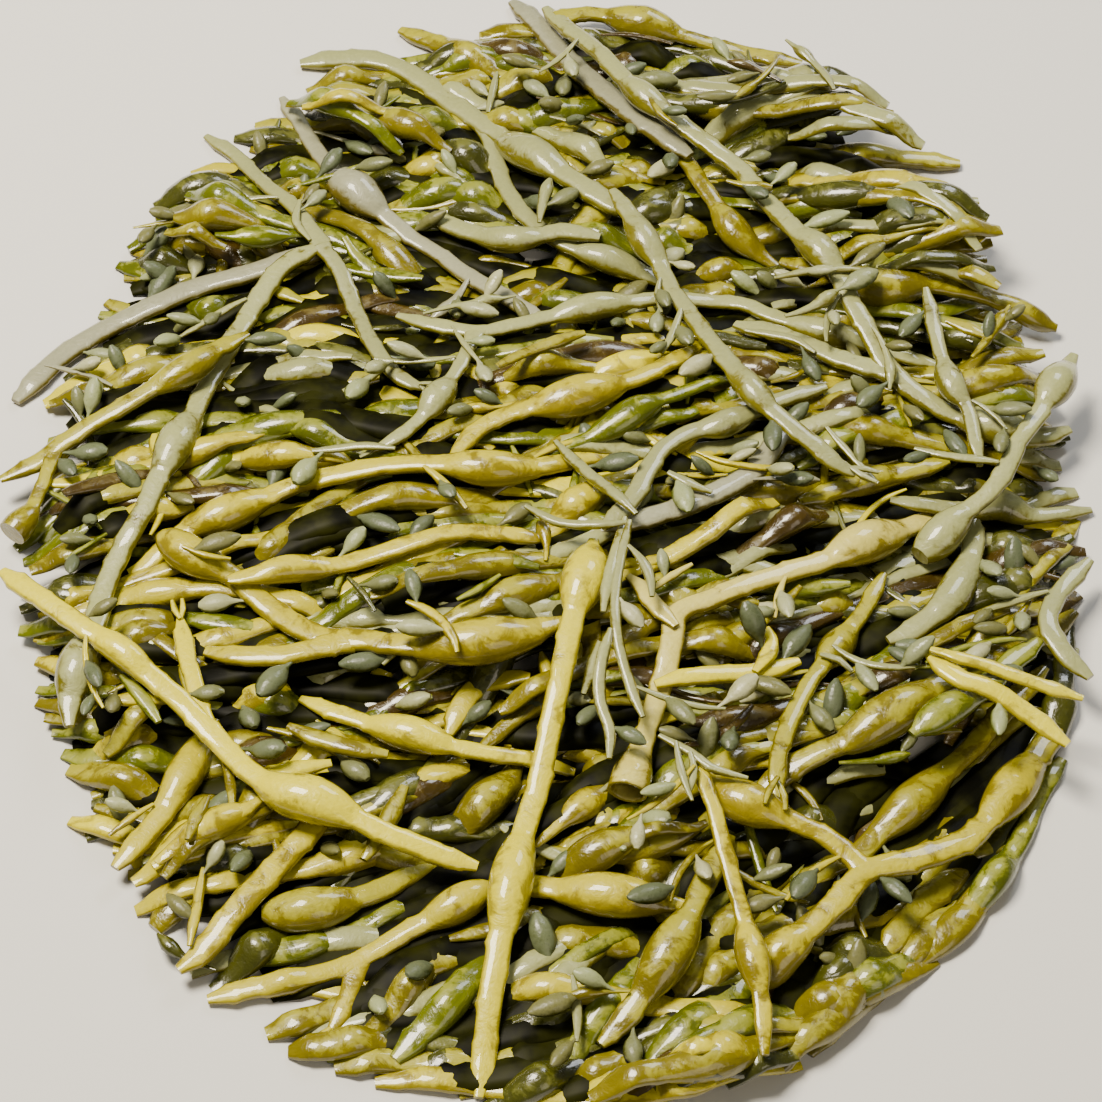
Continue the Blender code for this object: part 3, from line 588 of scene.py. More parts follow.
def lay_branch(shoot, branch, stem, heights, field):
    """Lays a branch from where it clears its stem. Returns it and the fork's place."""
    fork = np.array(branch.route[0], float)
    nearest = np.argmin(np.linalg.norm(np.array(shoot.route, float) - fork, axis=1))
    branch_heights = np.full(len(branch.route), heights[nearest])
    for _ in range(LAY_PASSES):
        strand = read_strand(branch, branch_heights)
        fork_arc = stem.nearest_arc(strand.path[0])
        fork_height = np.interp(fork_arc, stem.arcs, stem.heights)
        start, gaps = branch_limits(strand, stem)
        strand.limits = (strand.path_arc[start:] - strand.path_arc[start], gaps[start:])
        strand.set_path(strand.path[start:])
        strand.lay(field, [(0.0, fork_height)])
        branch_heights = route_heights(strand, branch, branch_heights)
    strand.name = stem.name + "_" + branch.name
    return strand, fork_arc


def holdfast_outline(angle):
    return HOLDFAST_RADIUS * (1 + HOLDFAST_LOBE_DEPTH * math.sin(HOLDFAST_LOBES * angle))


def holdfast_rings(reach):
    """Rings of places on the holdfast, out to a distance from its middle, and its height."""
    for radius in np.arange(0, reach, FIELD_CELL / 2):
        count = max(6, int(radius / FIELD_CELL * 12))
        turns = np.linspace(0, 2 * math.pi, count, endpoint=False)
        points = np.column_stack([radius * np.cos(turns), radius * np.sin(turns)])
        yield points, np.full(count, HOLDFAST_HEIGHT)


def main_shoot_path(angle, turn_after, lie, dice):
    """A path from the holdfast that bends round to the way most shoots lie."""
    start = HOLDFAST_RADIUS * (1 + HOLDFAST_LOBE_DEPTH) + MAIN_SHOOT_GAP
    point = np.array([math.cos(angle), math.sin(angle)]) * start
    points = [point]
    heading = angle
    length = dice.uniform(*MAIN_SHOOT_LENGTH)
    sway = dice.uniform(0, 2 * math.pi)
    travelled = 0.0
    while travelled < length:
        if travelled > turn_after:
            swing = (lie - heading + math.pi) % (2 * math.pi) - math.pi
            heading += np.clip(swing, -MAIN_TURN_MOST, MAIN_TURN_MOST)
        heading += MAIN_SWAY * math.sin(travelled / MAIN_SWAY_LENGTH + sway)
        point = point + MAIN_STEP * np.array([math.cos(heading), math.sin(heading)])
        if (point[0] / MAT_HALF_WIDTH) ** 2 + (point[1] / MAT_HALF_DEPTH) ** 2 > 1:
            break
        points.append(point)
        travelled += MAIN_STEP
    return smooth_path(np.array(points), LAY_STEP)


def lay_main_shoots(field):
    """Lays the long shoots that leave the holdfast along the ground."""
    dice = random.Random(SEED)
    laid = []
    for number in range(MAIN_SHOOTS):
        angle = 2 * math.pi * (number + MAIN_ANGLE_SPREAD * dice.random()) / MAIN_SHOOTS
        turn_after = dice.uniform(*MAIN_STRAIGHT) * abs(math.sin(angle)) + MAIN_STRAIGHT_LEAST
        towards = 0.0 if math.cos(angle) > 0 else math.pi
        lie = towards + dice.uniform(-MAIN_LIE_SPREAD, MAIN_LIE_SPREAD)
        path = main_shoot_path(angle, turn_after, lie, dice)
        reach = arc_lengths(path)
        swellings = []
        place = dice.uniform(*MAIN_BLADDER_START)
        while place < reach[-1] - MAIN_BLADDER_END:
            centre = path[np.argmin(np.abs(reach - place))]
            size = dice.uniform(*MAIN_BLADDER_LENGTH)
            swellings.append((centre, size, dice.uniform(*MAIN_BLADDER_WIDTH)))
            place += dice.uniform(*MAIN_BLADDER_SPACING)
        colour = (OLIVE, DARK, MUSTARD)[number % 3]
        strand = Strand("main_shoot_%02d" % (number + 1), colour, path,
                        dice.uniform(*MAIN_SHOOT_WIDTH), swellings)
        strand.lay(field)
        strand.mark(field)
        laid.append(strand)
    return laid


# Fronds that only the scene has. They lie in the hollows between the frame's fronds, each in
# one stage of the laying: stage 0 is over the main shoots, and each later stage is over some
# more of the upper shoots.
STAGE_STARTS = (0, 8, 16, 24, 30)
NO_CEILING = 1.0
ROOF = CAD_BOX[1][2]
DIP_RADIUS = 110 * MM
SQUEEZE_LEAST = 0.5
SETTLE_STEP = 3 * MM
RIM_SWELL = 0.25 * MM

# Filling fronds: where they may start, how many paths are tried for each, how a path sways,
# how its ends are cut and sunk, and where its bladders are. Angles are in radians.
FILL_SEED = 29
FILL_HALF_WIDTH = 190 * MM
FILL_HALF_DEPTH = 270 * MM
FILL_TRIES = 5
PATH_STEP = 10 * MM
PATH_SWAY = 0.09
PATH_SWAY_LENGTH = 22 * MM
PATH_SPREAD = 0.24
FILL_CUT = 0.3 * TIP_TAPER_LENGTH
SUNK_LENGTH = 16 * MM
SUNK_DEPTH = 7 * MM
FILL_BLADDER_START = (14, 55)
FILL_BLADDER_END = 12 * MM
FILL_BLADDER_SPACING = (42, 75)
FILL_BLADDER_WIDTH = (11, 15)
FILL_BLADDER_LENGTHS = (2.0, 2.4)
FILL_BLADDER_ROOM = 0.6

# Finishes of filling frond: the share that isn't dark, and how much it grows by each stage.
# The dark finishes that lower stages take more often are painted shade.
BRIGHT_SHARE = 0.18
BRIGHT_GROWTH = 0.3

# When a frond is left out: how much of it has room for less than half of it, and how much of
# it, or of a receptacle, would lie over a traced frond by more than a small gap.
CROWDED_MOST = {"under": 0.65, "over": 0.45, "arm": 0.4, "side": 0.5}
CROSSED_MOST = 0.05
PODS_CROSSED_MOST = 0.3
HIDING_GAP = 1.2 * MM

# The height at which a place on the ground is looked up in the view. How most fronds lie, by
# place in the view: pixel across, pixel down, degrees from level. The nearest places count
# most, and the softness, in square pixels, keeps one from ruling alone.
MEAN_HEIGHT = 16 * MM
LIE_SOFTNESS = 600
LIE = [(200, 160, -22), (420, 60, -8), (560, 210, -12), (900, 150, -8), (160, 420, 22),
       (500, 420, 6), (900, 400, 4), (100, 700, -6), (400, 700, 6), (640, 640, 12),
       (950, 640, 26), (230, 930, 26), (540, 960, 14), (850, 900, 42), (960, 780, 40)]

# Sweeps: the step along a frond and the sides round it.
TOP_STEP = 1.3 * MM
INNER_STEP = TOP_STEP * 1.3
MAIN_SWEEP_STEP = 2.4 * MM
FILL_SWEEP_STEP = 3.2 * MM
DEEP_SWEEP_STEP = 6 * MM
SLIM_STEP = 2.4 * MM
TOP_SIDES = 16
FILL_SIDES = 10
SLIM_SIDES = 7

# More fronds of the view, with the stage that each lies in.
EXTRA_SHOOTS = [
    (0, Shoot("behind_centre", OLIVE, 8,
              [(440, 622), (480, 606), (520, 593), (560, 580), (590, 566)],
              [(520, 593, 28, 14)])),
    (1, Shoot("behind_right", OLIVE, 8,
              [(610, 640), (648, 610), (690, 585), (730, 572)], [(668, 590, 22, 11)])),
    (2, Shoot("left_inner", MUSTARD, 7,
              [(228, 580), (258, 575), (288, 569), (334, 566), (378, 555), (416, 542),
               (454, 533), (505, 534), (545, 538)],
              [(292, 569, 26, 11)])),
    (4, Shoot("yellow_level", YELLOW, 7,
              [(655, 684), (690, 676), (728, 674), (765, 671), (800, 661)])),
    (4, Shoot("yellow_prong", YELLOW, 6,
              [(755, 672), (768, 655), (772, 640), (766, 628)])),
    (2, Shoot("olive_prongs", MUSTARD, 8,
              [(448, 735), (462, 706), (476, 688), (500, 680), (530, 676)])),
    (1, Shoot("under_yellow", OLIVE, 9,
              [(440, 850), (470, 824), (488, 805), (505, 785), (520, 760)],
              [(487, 806, 27, 14)])),
    (1, Shoot("low_middle", GREEN, 9,
              [(395, 1060), (425, 1030), (450, 1003), (470, 980), (500, 955)],
              [(450, 1004, 24, 12)])),
    (0, Shoot("left_high", OLIVE, 9,
              [(95, 392), (145, 373), (190, 362), (235, 360)], [(145, 374, 26, 13)])),
    (0, Shoot("left_inside", OLIVE, 8,
              [(240, 410), (290, 395), (335, 388), (380, 386)], [(290, 395, 24, 12)])),
    (3, Shoot("bent_bladder", SAGE, 8,
              [(975, 520), (972, 552), (962, 580), (944, 606), (915, 628), (888, 640)],
              [(955, 590, 34, 13)])),
    (3, Shoot("pale_bladder", GREEN, 8,
              [(1040, 640), (1005, 668), (975, 694), (943, 712), (912, 735)],
              [(943, 711, 24, 12)])),
    (4, Shoot("right_lime", YELLOW, 7,
              [(926, 652), (945, 670), (962, 682), (984, 688), (1010, 704), (1036, 722),
               (1068, 746)])),
    (5, Shoot("right_lime_arm", YELLOW, 5,
              [(930, 650), (956, 658), (988, 670), (1022, 684), (1050, 694), (1082, 704)])),
    (4, Shoot("olive_fork_arm", TAN, 6,
              [(676, 626), (662, 612), (649, 598), (640, 586), (628, 576)])),
    (4, Shoot("right_sage", SAGE, 7,
              [(1090, 560), (1062, 590), (1048, 620), (1062, 650), (1090, 678)])),
    (0, Shoot("top_left_olive", OLIVE, 9,
              [(400, 30), (440, 44), (480, 62), (520, 84), (560, 100)], [(470, 58, 26, 13)])),
    (1, Shoot("top_middle", SAGE, 8,
              [(430, 215), (470, 232), (515, 240), (560, 232), (600, 238)],
              [(510, 240, 24, 12)])),
    (0, Shoot("high_right", OLIVE, 9,
              [(760, 140), (810, 148), (860, 156), (915, 160), (960, 164)],
              [(868, 157, 28, 12)])),
    (1, Shoot("mid_right", OLIVE, 8,
              [(800, 500), (850, 485), (900, 470), (950, 455)], [(868, 480, 22, 11)])),
    (1, Shoot("low_far_right", OLIVE, 9,
              [(880, 960), (905, 925), (935, 895), (968, 868)])),
    (1, Shoot("rim_low_middle", GREEN, 8,
              [(560, 1070), (590, 1030), (612, 1000), (640, 960)], [(600, 1015, 22, 11)])),
]

# Slim shoots that hang over the middle: stage, width in millimetres, and route in pixels.
SLIM_SHOOTS = [
    (5, 4.6, [(625, 517), (619, 542), (608, 582), (603, 612)]),
    (5, 4.1, [(630, 520), (620, 560), (615, 600), (618, 640), (632, 690), (643, 716)]),
    (5, 4.3, [(600, 618), (592, 645), (584, 668)]),
    (5, 4.3, [(610, 628), (600, 668), (600, 700), (610, 730), (609, 758)]),
    (5, 4.9, [(555, 440), (581, 466), (612, 491), (636, 514)]),
    (5, 4.9, [(668, 472), (690, 484), (712, 492)]),
    (5, 4.1, [(525, 505), (560, 522), (600, 524), (628, 522)]),
    (5, 3.5, [(659, 735), (692, 753), (712, 768), (748, 778)]),
    (5, 3.5, [(690, 752), (694, 772), (688, 794)]),
    (5, 3.8, [(395, 448), (360, 446), (330, 449), (312, 450)]),
    (5, 3.5, [(310, 240), (296, 222), (300, 200)]),
    (5, 3.5, [(488, 112), (492, 92), (497, 72)]),
    (5, 3.8, [(820, 655), (838, 660), (852, 672)]),
    (4, 4.1, [(745, 330), (790, 338), (815, 352)]),
]


def smooth_values(values, spread):
    """A Gaussian average along a row of values, its ends held."""
    reach = max(1, int(3 * spread))
    weights = np.exp(-0.5 * (np.arange(-reach, reach + 1) / spread) ** 2)
    held = np.pad(values, reach, mode="edge")
    return np.convolve(held, weights / weights.sum(), mode="valid")


class Layers:
    """The tops of what lies below each stage, and the undersides of what lies above it."""

    def __init__(self):
        count = len(STAGE_STARTS) + 1
        self.tops = [Field() for _ in range(count)]
        self.undersides = [Field() for _ in range(count)]
        for field in self.undersides:
            field.height[:] = -NO_CEILING

    def add(self, stage, points, tops, bottoms):
        """Adds what lies in a stage. An underside is kept with its sign turned, so that the
        highest value read is the lowest underside."""
        for level, field in enumerate(self.tops):
            if level >= stage:
                field.add(points, tops)
        for level, field in enumerate(self.undersides):
            if level < stage:
                field.add(points, -bottoms)

    def floor(self, stage, points):
        return self.tops[stage].read(points)

    def ceiling(self, stage, points):
        return np.minimum(-self.undersides[stage].read(points), ROOF)


def squeezed_width(half_width, shrink):
    """A frond's half width where it is squeezed to a share of its height."""
    return half_width * (0.7 + 0.3 * shrink)


class Run:
    """A frond as it is swept: places, directions, sizes and finish at fine steps."""

    TOOTH_DEPTHS = (0.14, 0.2, 0.26, -0.16, 0.12)
    TOOTH_START = (3, 14)
    TOOTH_SPACING = (8, 20)
    TOOTH_FALL = 0.7 * MM
    TOOTH_RISE = 3.2 * MM

    def __init__(self, strand, step, heights, squeeze, stage, dice, ragged=1.0, cut=0.0):
        length = strand.path_arc[-1]
        self.arcs = np.linspace(cut, length - cut, max(5, int((length - 2 * cut) / step)))
        self.stage = stage
        self.strand = strand
        level = strand.at(self.arcs)
        self.height = np.interp(self.arcs, *heights)
        self.centres = np.column_stack([level, self.height])
        self.sides = side_directions(level)
        half_width, half_height = strand.sizes(self.arcs)
        shrink = np.interp(self.arcs, *squeeze)
        half_width = squeezed_width(half_width, shrink)
        half_height = half_height * shrink
        stem = strand.width / 2
        self.swelling = np.clip((half_width - stem) / (0.35 * stem), 0, 1)
        self.left = half_width + self.margin(stem, dice, ragged)
        self.right = half_width + self.margin(stem, dice, ragged)
        self.half_height = half_height
        self.centres[:, 2] = np.maximum(self.height, half_height + RIM_SWELL)
        self.seed = dice.uniform(0, 40)
        # The second colour and its share are for the painted sheen, a pale sky reflection painted on
        # up-facing tops.
        wet, dry, film = strand.colour
        self.wet = shaded(wet, dice.uniform(0.82, 1.15))
        self.dry = shaded(dry, dice.uniform(0.88, 1.08))
        self.film = np.clip(film + dice.uniform(-0.12, 0.12), 0, 1)

    def margin(self, stem, dice, ragged):
        """Teeth and nicks along one edge: each rises slowly and breaks off short."""
        offset = 0.04 * np.sin(self.arcs / (9 * MM) + dice.uniform(0, 6))
        place = dice.uniform(*self.TOOTH_START) * MM
        while place < self.arcs[-1]:
            depth = dice.choice(self.TOOTH_DEPTHS) * ragged
            way = dice.choice((-1, 1))
            away = (self.arcs - place) * way
            tooth = np.where(away > 0, np.exp(-away / self.TOOTH_FALL),
                             np.exp(away / self.TOOTH_RISE))
            offset = offset + depth * tooth
            place += dice.uniform(*self.TOOTH_SPACING) * MM
        return offset * stem * (1 - self.swelling)

    def point(self, arc):
        """Place, direction along and direction to the side at a distance along the frond."""
        nearby = [arc, arc + 2 * MM, arc - 2 * MM]
        place, ahead, back = read_rows(nearby, self.arcs, self.centres)
        ahead, back = ahead[:2], back[:2]
        along = (ahead - back) / max(1e-9, np.linalg.norm(ahead - back))
        return place, along, np.array([-along[1], along[0]])


def linear_channel(value):
    return value / 12.92 if value <= 0.04045 else ((value + 0.055) / 1.055) ** 2.4


def linear_colour(colour):
    return tuple(linear_channel(int(colour[i:i + 2], 16) / 255) for i in (0, 2, 4))


def shaded(colour, factor):
    return np.array(linear_colour(colour)) * factor


# A squeeze of none, as distances and values, and how far a fork's arm is flared at its root.
STILL = (np.array([0.0, 1.0]), np.array([1.0, 1.0]))
FLARE_LENGTH = 5 * MM


def frame_heights(strand):
    """The heights where the frame has a frond, smoothed, as distances and values."""
    even = np.linspace(0, strand.arcs[-1], max(8, int(strand.arcs[-1] / LAY_STEP)))
    return even, smooth_values(np.interp(even, strand.arcs, strand.heights), 2.5)


def joined_run(strand, stem, stage, step, dice):
    """The run of a fork's arm, grown out of its stem.

    The frame's arm starts beside the stem, so this one goes on back to the stem's middle.
    """
    outset = strand.path[0]
    back = strand.path[0] - strand.path[3]
    back /= np.linalg.norm(back)
    reach = np.linspace(0, 2.5 * stem.width, 30)
    trail = outset + back * reach[:, None]
    away = np.linalg.norm(trail[:, None, :] - stem.path[None, :, :], axis=2)
    root = stem.path[np.unravel_index(np.argmin(away), away.shape)[1]]
    points = np.vstack([root, (root + outset) / 2, strand.path[2::4], strand.path[-1:]])
    path = smooth_path(points, LAY_STEP)
    grown = Strand(strand.name, strand.colour, path, strand.width, strand.bladders)
    added = arc_lengths(path)[-1] - strand.path_arc[-1]
    even, heights = frame_heights(strand)
    root_height = np.interp(stem.nearest_arc(root), stem.arcs, stem.heights)
    arcs = np.concatenate([[0.0], even + max(added, 1 * MM)])
    heights = np.concatenate([[root_height], heights])
    run = Run(grown, step, (arcs, heights), STILL, stage, dice)
    taper = TIP_WIDTH_RATIO + (1 - TIP_WIDTH_RATIO) * np.clip(run.arcs / TIP_TAPER_LENGTH, 0, 1)
    near_root = np.exp(-(run.arcs / FLARE_LENGTH) ** 2)
    for values, more in ((run.left, 0.35), (run.right, 0.35), (run.half_height, 0.1)):
        values *= (1 + more * near_root) / taper
    return run


def open_end(run):
    """Takes a run on round the mouth of its torn bladder and into the hollow."""
    size = run.strand.torn[0]
    mouth = run.arcs[-1]
    depth = np.concatenate([[0.0, 0.0], np.linspace(0.06, TORN_FLOOR, 12)]) * size
    wall = np.concatenate([[0.35, 0.9], np.full(12, 1.0)]) * TORN_WALL
    share = np.concatenate([np.ones(11), (0.86, 0.62, 0.25)])
    inner = mouth - depth
    read = lambda values: np.interp(inner, run.arcs, values)
    run.centres = np.vstack([run.centres, read_rows(inner, run.arcs, run.centres)])
    run.sides = np.vstack([run.sides, read_rows(inner, run.arcs, run.sides)])
    widths = [(read(values) - wall) * share for values in (run.left, run.right, run.half_height)]
    run.swelling = np.concatenate([run.swelling, read(run.swelling)])
    run.left, run.right, run.half_height = (
        np.concatenate([values, inside])
        for values, inside in zip((run.left, run.right, run.half_height), widths))
    run.arcs = np.concatenate([run.arcs, mouth + depth])


def mark_layers(layers, stage, rows, heights):
    """Adds a frond's section rows to the layers, its middle at the given heights."""
    for points, depth in rows:
        layers.add(stage, points, heights + depth, heights - depth)


def settle(strand, stage, layers, start_height=None):
    """Lays a strand between what is below and above its stage.

    It is squeezed thin where the two come close. Returns its heights and its squeeze, each
    as a pair of distances and values, and how much of it has room for less than half of it.
    """
    even = np.linspace(0, strand.path_arc[-1], max(6, int(strand.path_arc[-1] / SETTLE_STEP)))
    centres = strand.at(even)
    sides = side_directions(centres)
    half_width, half_height = strand.sizes(even)
    need = half_height.copy()
    limit = np.full(len(even), ROOF)
    for points, depth in section_rows(centres, sides, half_width, half_height,
                                      (-0.9, -0.45, 0, 0.45, 0.9)):
        need = np.maximum(need, layers.floor(stage, points) + depth)
        limit = np.minimum(limit, layers.ceiling(stage, points) - depth)
    if start_height is not None:
        need[0] = max(need[0], start_height)
    away = even[:, None] - even[None, :]
    heights = np.max(need[None, :] - away ** 2 / (2 * LAY_BEND_RADIUS), axis=1)
    heights = np.min(np.minimum(heights, limit)[None, :] + away ** 2 / (2 * DIP_RADIUS), axis=1)
    heights = np.maximum(heights, half_height * SQUEEZE_LEAST)
    room = np.where(limit > need, half_height, half_height + (limit - need) / 2)
    squeeze = np.clip(room / half_height, SQUEEZE_LEAST, 1)
    heights = smooth_values(heights, 1.2)
    squeeze = smooth_values(squeeze, 0.8)
    crowded = float(np.mean(room < 0.5 * half_height))
    return (even, heights), (even, squeeze), crowded


def mark_settled(strand, stage, layers, heights, squeeze):
    """Adds a settled strand to the layers."""
    even = np.linspace(0, strand.path_arc[-1], max(6, int(strand.path_arc[-1] / (1.5 * MM))))
    centres = strand.at(even)
    sides = side_directions(centres)
    half_width, half_height = strand.sizes(even)
    shrink = np.interp(even, *squeeze)
    rows = section_rows(centres, sides, squeezed_width(half_width, shrink),
                        half_height * shrink, np.linspace(-0.95, 0.95, 9))
    mark_layers(layers, stage, rows, np.interp(even, *heights))


def lay_extra(shoot, stage, layers, dice, step, ragged=1.0):
    """Lays a frond of the view that only the scene has."""
    pixels = np.array(shoot.route, float)
    heights = mound_heights(pixels)
    for _ in range(LAY_PASSES):
        strand = read_strand(shoot, heights)
        laid, squeeze, _ = settle(strand, stage, layers)
        spots = sight_points(pixels, heights)
        heights = np.array([np.interp(strand.nearest_arc(spot), *laid) for spot in spots])
    mark_settled(strand, stage, layers, laid, squeeze)
    return Run(strand, step, laid, squeeze, stage, dice, ragged)


def view_of(points):
    """Where the view shows places, as pixels across and down, and how far away they are."""
    back = np.array([0.0, -math.cos(VIEW_ELEVATION), math.sin(VIEW_ELEVATION)])
    upward = np.array([0.0, math.sin(VIEW_ELEVATION), math.cos(VIEW_ELEVATION)])
    rays = points - (AIM + back * VIEW_DISTANCE)
    away = -rays @ back
    scale = PHOTO_SIDE / PHOTO_SPAN * VIEW_DISTANCE / away
    return PHOTO_SIDE / 2 + rays[:, 0] * scale, PHOTO_SIDE / 2 - rays @ upward * scale, away


def pixel_of(point):
    """The pixel of the view in which a place a little above the ground is seen."""
    across, down, _ = view_of(np.array([[point[0], point[1], MEAN_HEIGHT]]))
    return float(across[0]), float(down[0])


class Seen:
    """How far away the view shows the traced fronds, at each spot of it."""

    CELL = 4.0
    COUNT = 276

    def __init__(self):
        self.away = np.full((self.COUNT, self.COUNT), np.inf)

    def cells(self, points):
        across, down, away = view_of(points)
        spots = [np.clip((pixels / self.CELL).astype(int), 0, self.COUNT - 1)
                 for pixels in (across, down)]
        return tuple(spots), away

    def add(self, run):
        for share in np.linspace(-1, 1, 9):
            points = run.centres.copy()
            reach = share * (run.right if share < 0 else run.left)
            points[:, :2] += run.sides * reach[:, None]
            spots, away = self.cells(points)
            np.minimum.at(self.away, spots, away)

    def crossed(self, points):
        """The share of some places at which they would hide a traced frond."""
        spots, away = self.cells(points)
        there = self.away[spots]
        return float(np.mean(np.isfinite(there) & (there > away + HIDING_GAP)))


def lie_at(point, dice):
    """The way fronds lie at a place on the ground, as an angle."""
    across, down = pixel_of(point)
    weights = [1 / (LIE_SOFTNESS + (across - u) ** 2 + (down - v) ** 2) for u, v, _ in LIE]
    slope = sum(w * math.tan(math.radians(a)) for w, (_, _, a) in zip(weights, LIE)) / sum(weights)
    lie = math.atan2(slope, math.sin(VIEW_ELEVATION))
    return lie + dice.gauss(0, PATH_SPREAD)


def inside_mat(point, share=1.0):
    """Whether a place on the ground is in the round tangle, or in a smaller share of it."""
    across, down = pixel_of(point)
    return math.hypot(across - PHOTO_SIDE / 2, down - PHOTO_SIDE / 2) < share * PHOTO_SIDE / 2


def grown_path(start, length, dice, share):
    """A gently swaying path through a point, the way fronds lie there."""
    halves = []
    sway = dice.uniform(0, 6.3)
    lie = lie_at(start, dice)
    for way in (1, -1):
        point = np.array(start)
        heading = lie + (math.pi if way < 0 else 0)
        points = []
        travelled = 0.0
        while travelled < length / 2:
            heading += PATH_SWAY * math.sin(travelled / PATH_SWAY_LENGTH + sway + way)
            point = point + PATH_STEP * np.array([math.cos(heading), math.sin(heading)])
            if not inside_mat(point, share):
                break
            points.append(point)
            travelled += PATH_STEP
        halves.append(points)
    path = halves[1][::-1] + [np.array(start)] + halves[0]
    if len(path) < 4:
        return None
    if dice.random() < 0.5:
        path = path[::-1]
    return smooth_path(np.array(path), LAY_STEP)


def finish_at(point, stage, dice):
    """A filling frond's finish: dark in the lower stages as painted shade, else duller towards the upper
    right.
    """
    across, down = pixel_of(point)
    # The lower the stage, the likelier a dark finish: painted shade.
    if dice.random() > BRIGHT_SHARE + BRIGHT_GROWTH * stage:
        return dice.choice((DARK, DARK, BROWN, GREEN, OLIVE))
    pale = 0.85 - 0.85 * (down / PHOTO_SIDE) + 0.15 * (across / PHOTO_SIDE)
    if dice.random() < pale:
        return dice.choice((SAGE, OLIVE, OLIVE, GREEN))
    return dice.choice((MUSTARD, OLIVE, OLIVE, GREEN, MUSTARD, YELLOW))


class Cover:
    """How many fronds lie over each spot of ground, to put new ones where few lie."""

    CELL = 8 * MM
    COUNTS = (80, 100)

    def __init__(self):
        self.count = np.zeros(self.COUNTS)

    def place(self, points):
        spot = ((points - FIELD_LOW) / self.CELL).astype(int)
        return tuple(np.clip(spot[..., k], 0, self.COUNTS[k] - 1) for k in (0, 1))

    def add(self, points, width):
        np.add.at(self.count, self.place(points), width * LAY_STEP / self.CELL ** 2)

    def read(self, points):
        return self.count[self.place(points)]


def fill_bladders(path, layers, stage, dice):
    """Bladders at uneven distances along a filling frond, where there is room for them."""
    reach = arc_lengths(path)
    bladders = []
    place = dice.uniform(*FILL_BLADDER_START) * MM
    while place < reach[-1] - FILL_BLADDER_END:
        centre = path[np.argmin(np.abs(reach - place))]
        here = centre[None, :]
        room = float((layers.ceiling(stage, here) - layers.floor(stage, here))[0])
        breadth = dice.uniform(*FILL_BLADDER_WIDTH) * MM
        if room > FILL_BLADDER_ROOM * breadth * BLADDER_FLATNESS:
            bladders.append((centre, breadth * dice.uniform(*FILL_BLADDER_LENGTHS), breadth))
        place += dice.uniform(*FILL_BLADDER_SPACING) * MM
    return bladders


def thinnest_path(length_range, cover, dice, share):
    """Of a few paths in the tangle, the one where the fewest fronds lie."""
    best = None
    for _ in range(FILL_TRIES):
        spot = (dice.uniform(-1, 1) * FILL_HALF_WIDTH, dice.uniform(-1, 1) * FILL_HALF_DEPTH)
        if not inside_mat(spot, share):
            continue
        path = grown_path(spot, dice.uniform(*length_range), dice, share)
        if path is None:
            continue
        thinness = float(np.mean(cover.read(path)))
        if best is None or thinness < best[0]:
            best = (thinness, path, spot)
    return best


def upper_side(strand, heights, squeeze):
    """Places along a settled strand's middle and near its edges."""
    arcs = heights[0]
    centres = strand.at(arcs)
    sides = side_directions(centres)
    half_width, half_height = strand.sizes(arcs)
    rise = np.interp(arcs, *squeeze) * half_height
    rows = section_rows(centres, sides, half_width, rise, (-0.8, 0, 0.8))
    return np.vstack([np.column_stack([level, heights[1] + depth]) for level, depth in rows])


def fill_stage(stage, count, width_range, length_range, share, kind, layers, cover, seen, dice):
    """Fills a stage with fronds, each where the cover is thin.

    Deep ones and those under the traced fronds may be squeezed and crossed at will. The
    others stay clear of traced fronds.
    """
    runs = []
    for _ in range(count):
        best = thinnest_path(length_range, cover, dice, share)
        if best is None:
            continue
        _, path, spot = best
        bladders = [] if kind == "deep" else fill_bladders(path, layers, stage, dice)
        # Deep fronds all take the dark finish, which their skin makes nearly black: painted shade.
        finish = DARK if kind == "deep" else finish_at(spot, stage + 1, dice)
        strand = Strand("fill", finish, path, dice.uniform(*width_range), bladders)
        heights, squeeze, crowded = settle(strand, stage, layers)
        if kind != "deep":
            hidden = seen.crossed(upper_side(strand, heights, squeeze))
            if crowded > CROWDED_MOST[kind] or hidden > CROSSED_MOST:
                cover.add(path, 0.3 * strand.width)
                continue
        mark_settled(strand, stage, layers, heights, squeeze)
        cover.add(path, strand.width)
        step = DEEP_SWEEP_STEP if kind == "deep" else FILL_SWEEP_STEP
        run = Run(strand, step, heights, squeeze, stage, dice, 0.9, FILL_CUT)
        sink_ends(run)
        runs.append(run)
    return runs


def sink_ends(run):
    """Thins a filling frond's ends and dips them among the fronds below."""
    away = np.minimum(run.arcs - run.arcs[0], run.arcs[-1] - run.arcs)
    thin = np.clip(away / SUNK_LENGTH, 0, 1)
    thin = thin * thin * (3 - 2 * thin)
    for values, least in ((run.left, 0.85), (run.right, 0.85), (run.half_height, 0.5)):
        values *= least + (1 - least) * thin
    drop = np.minimum(SUNK_DEPTH, np.maximum(run.centres[:, 2] - run.half_height, 0))
    run.centres[:, 2] -= drop * (1 - thin)


class Pod:
    """A receptacle: where its stalk starts, which way it points, its size and its colour."""

    def __init__(self, base, along, size, kind, finish):
        self.base = base
        self.along = along
        self.size = size
        self.kind = kind
        self.finish = finish

    def places(self):
        """A few places along the middle of its swollen part."""
        return self.base + self.along * (np.linspace(0.4, 1.0, 4) * self.size[0])[:, None]


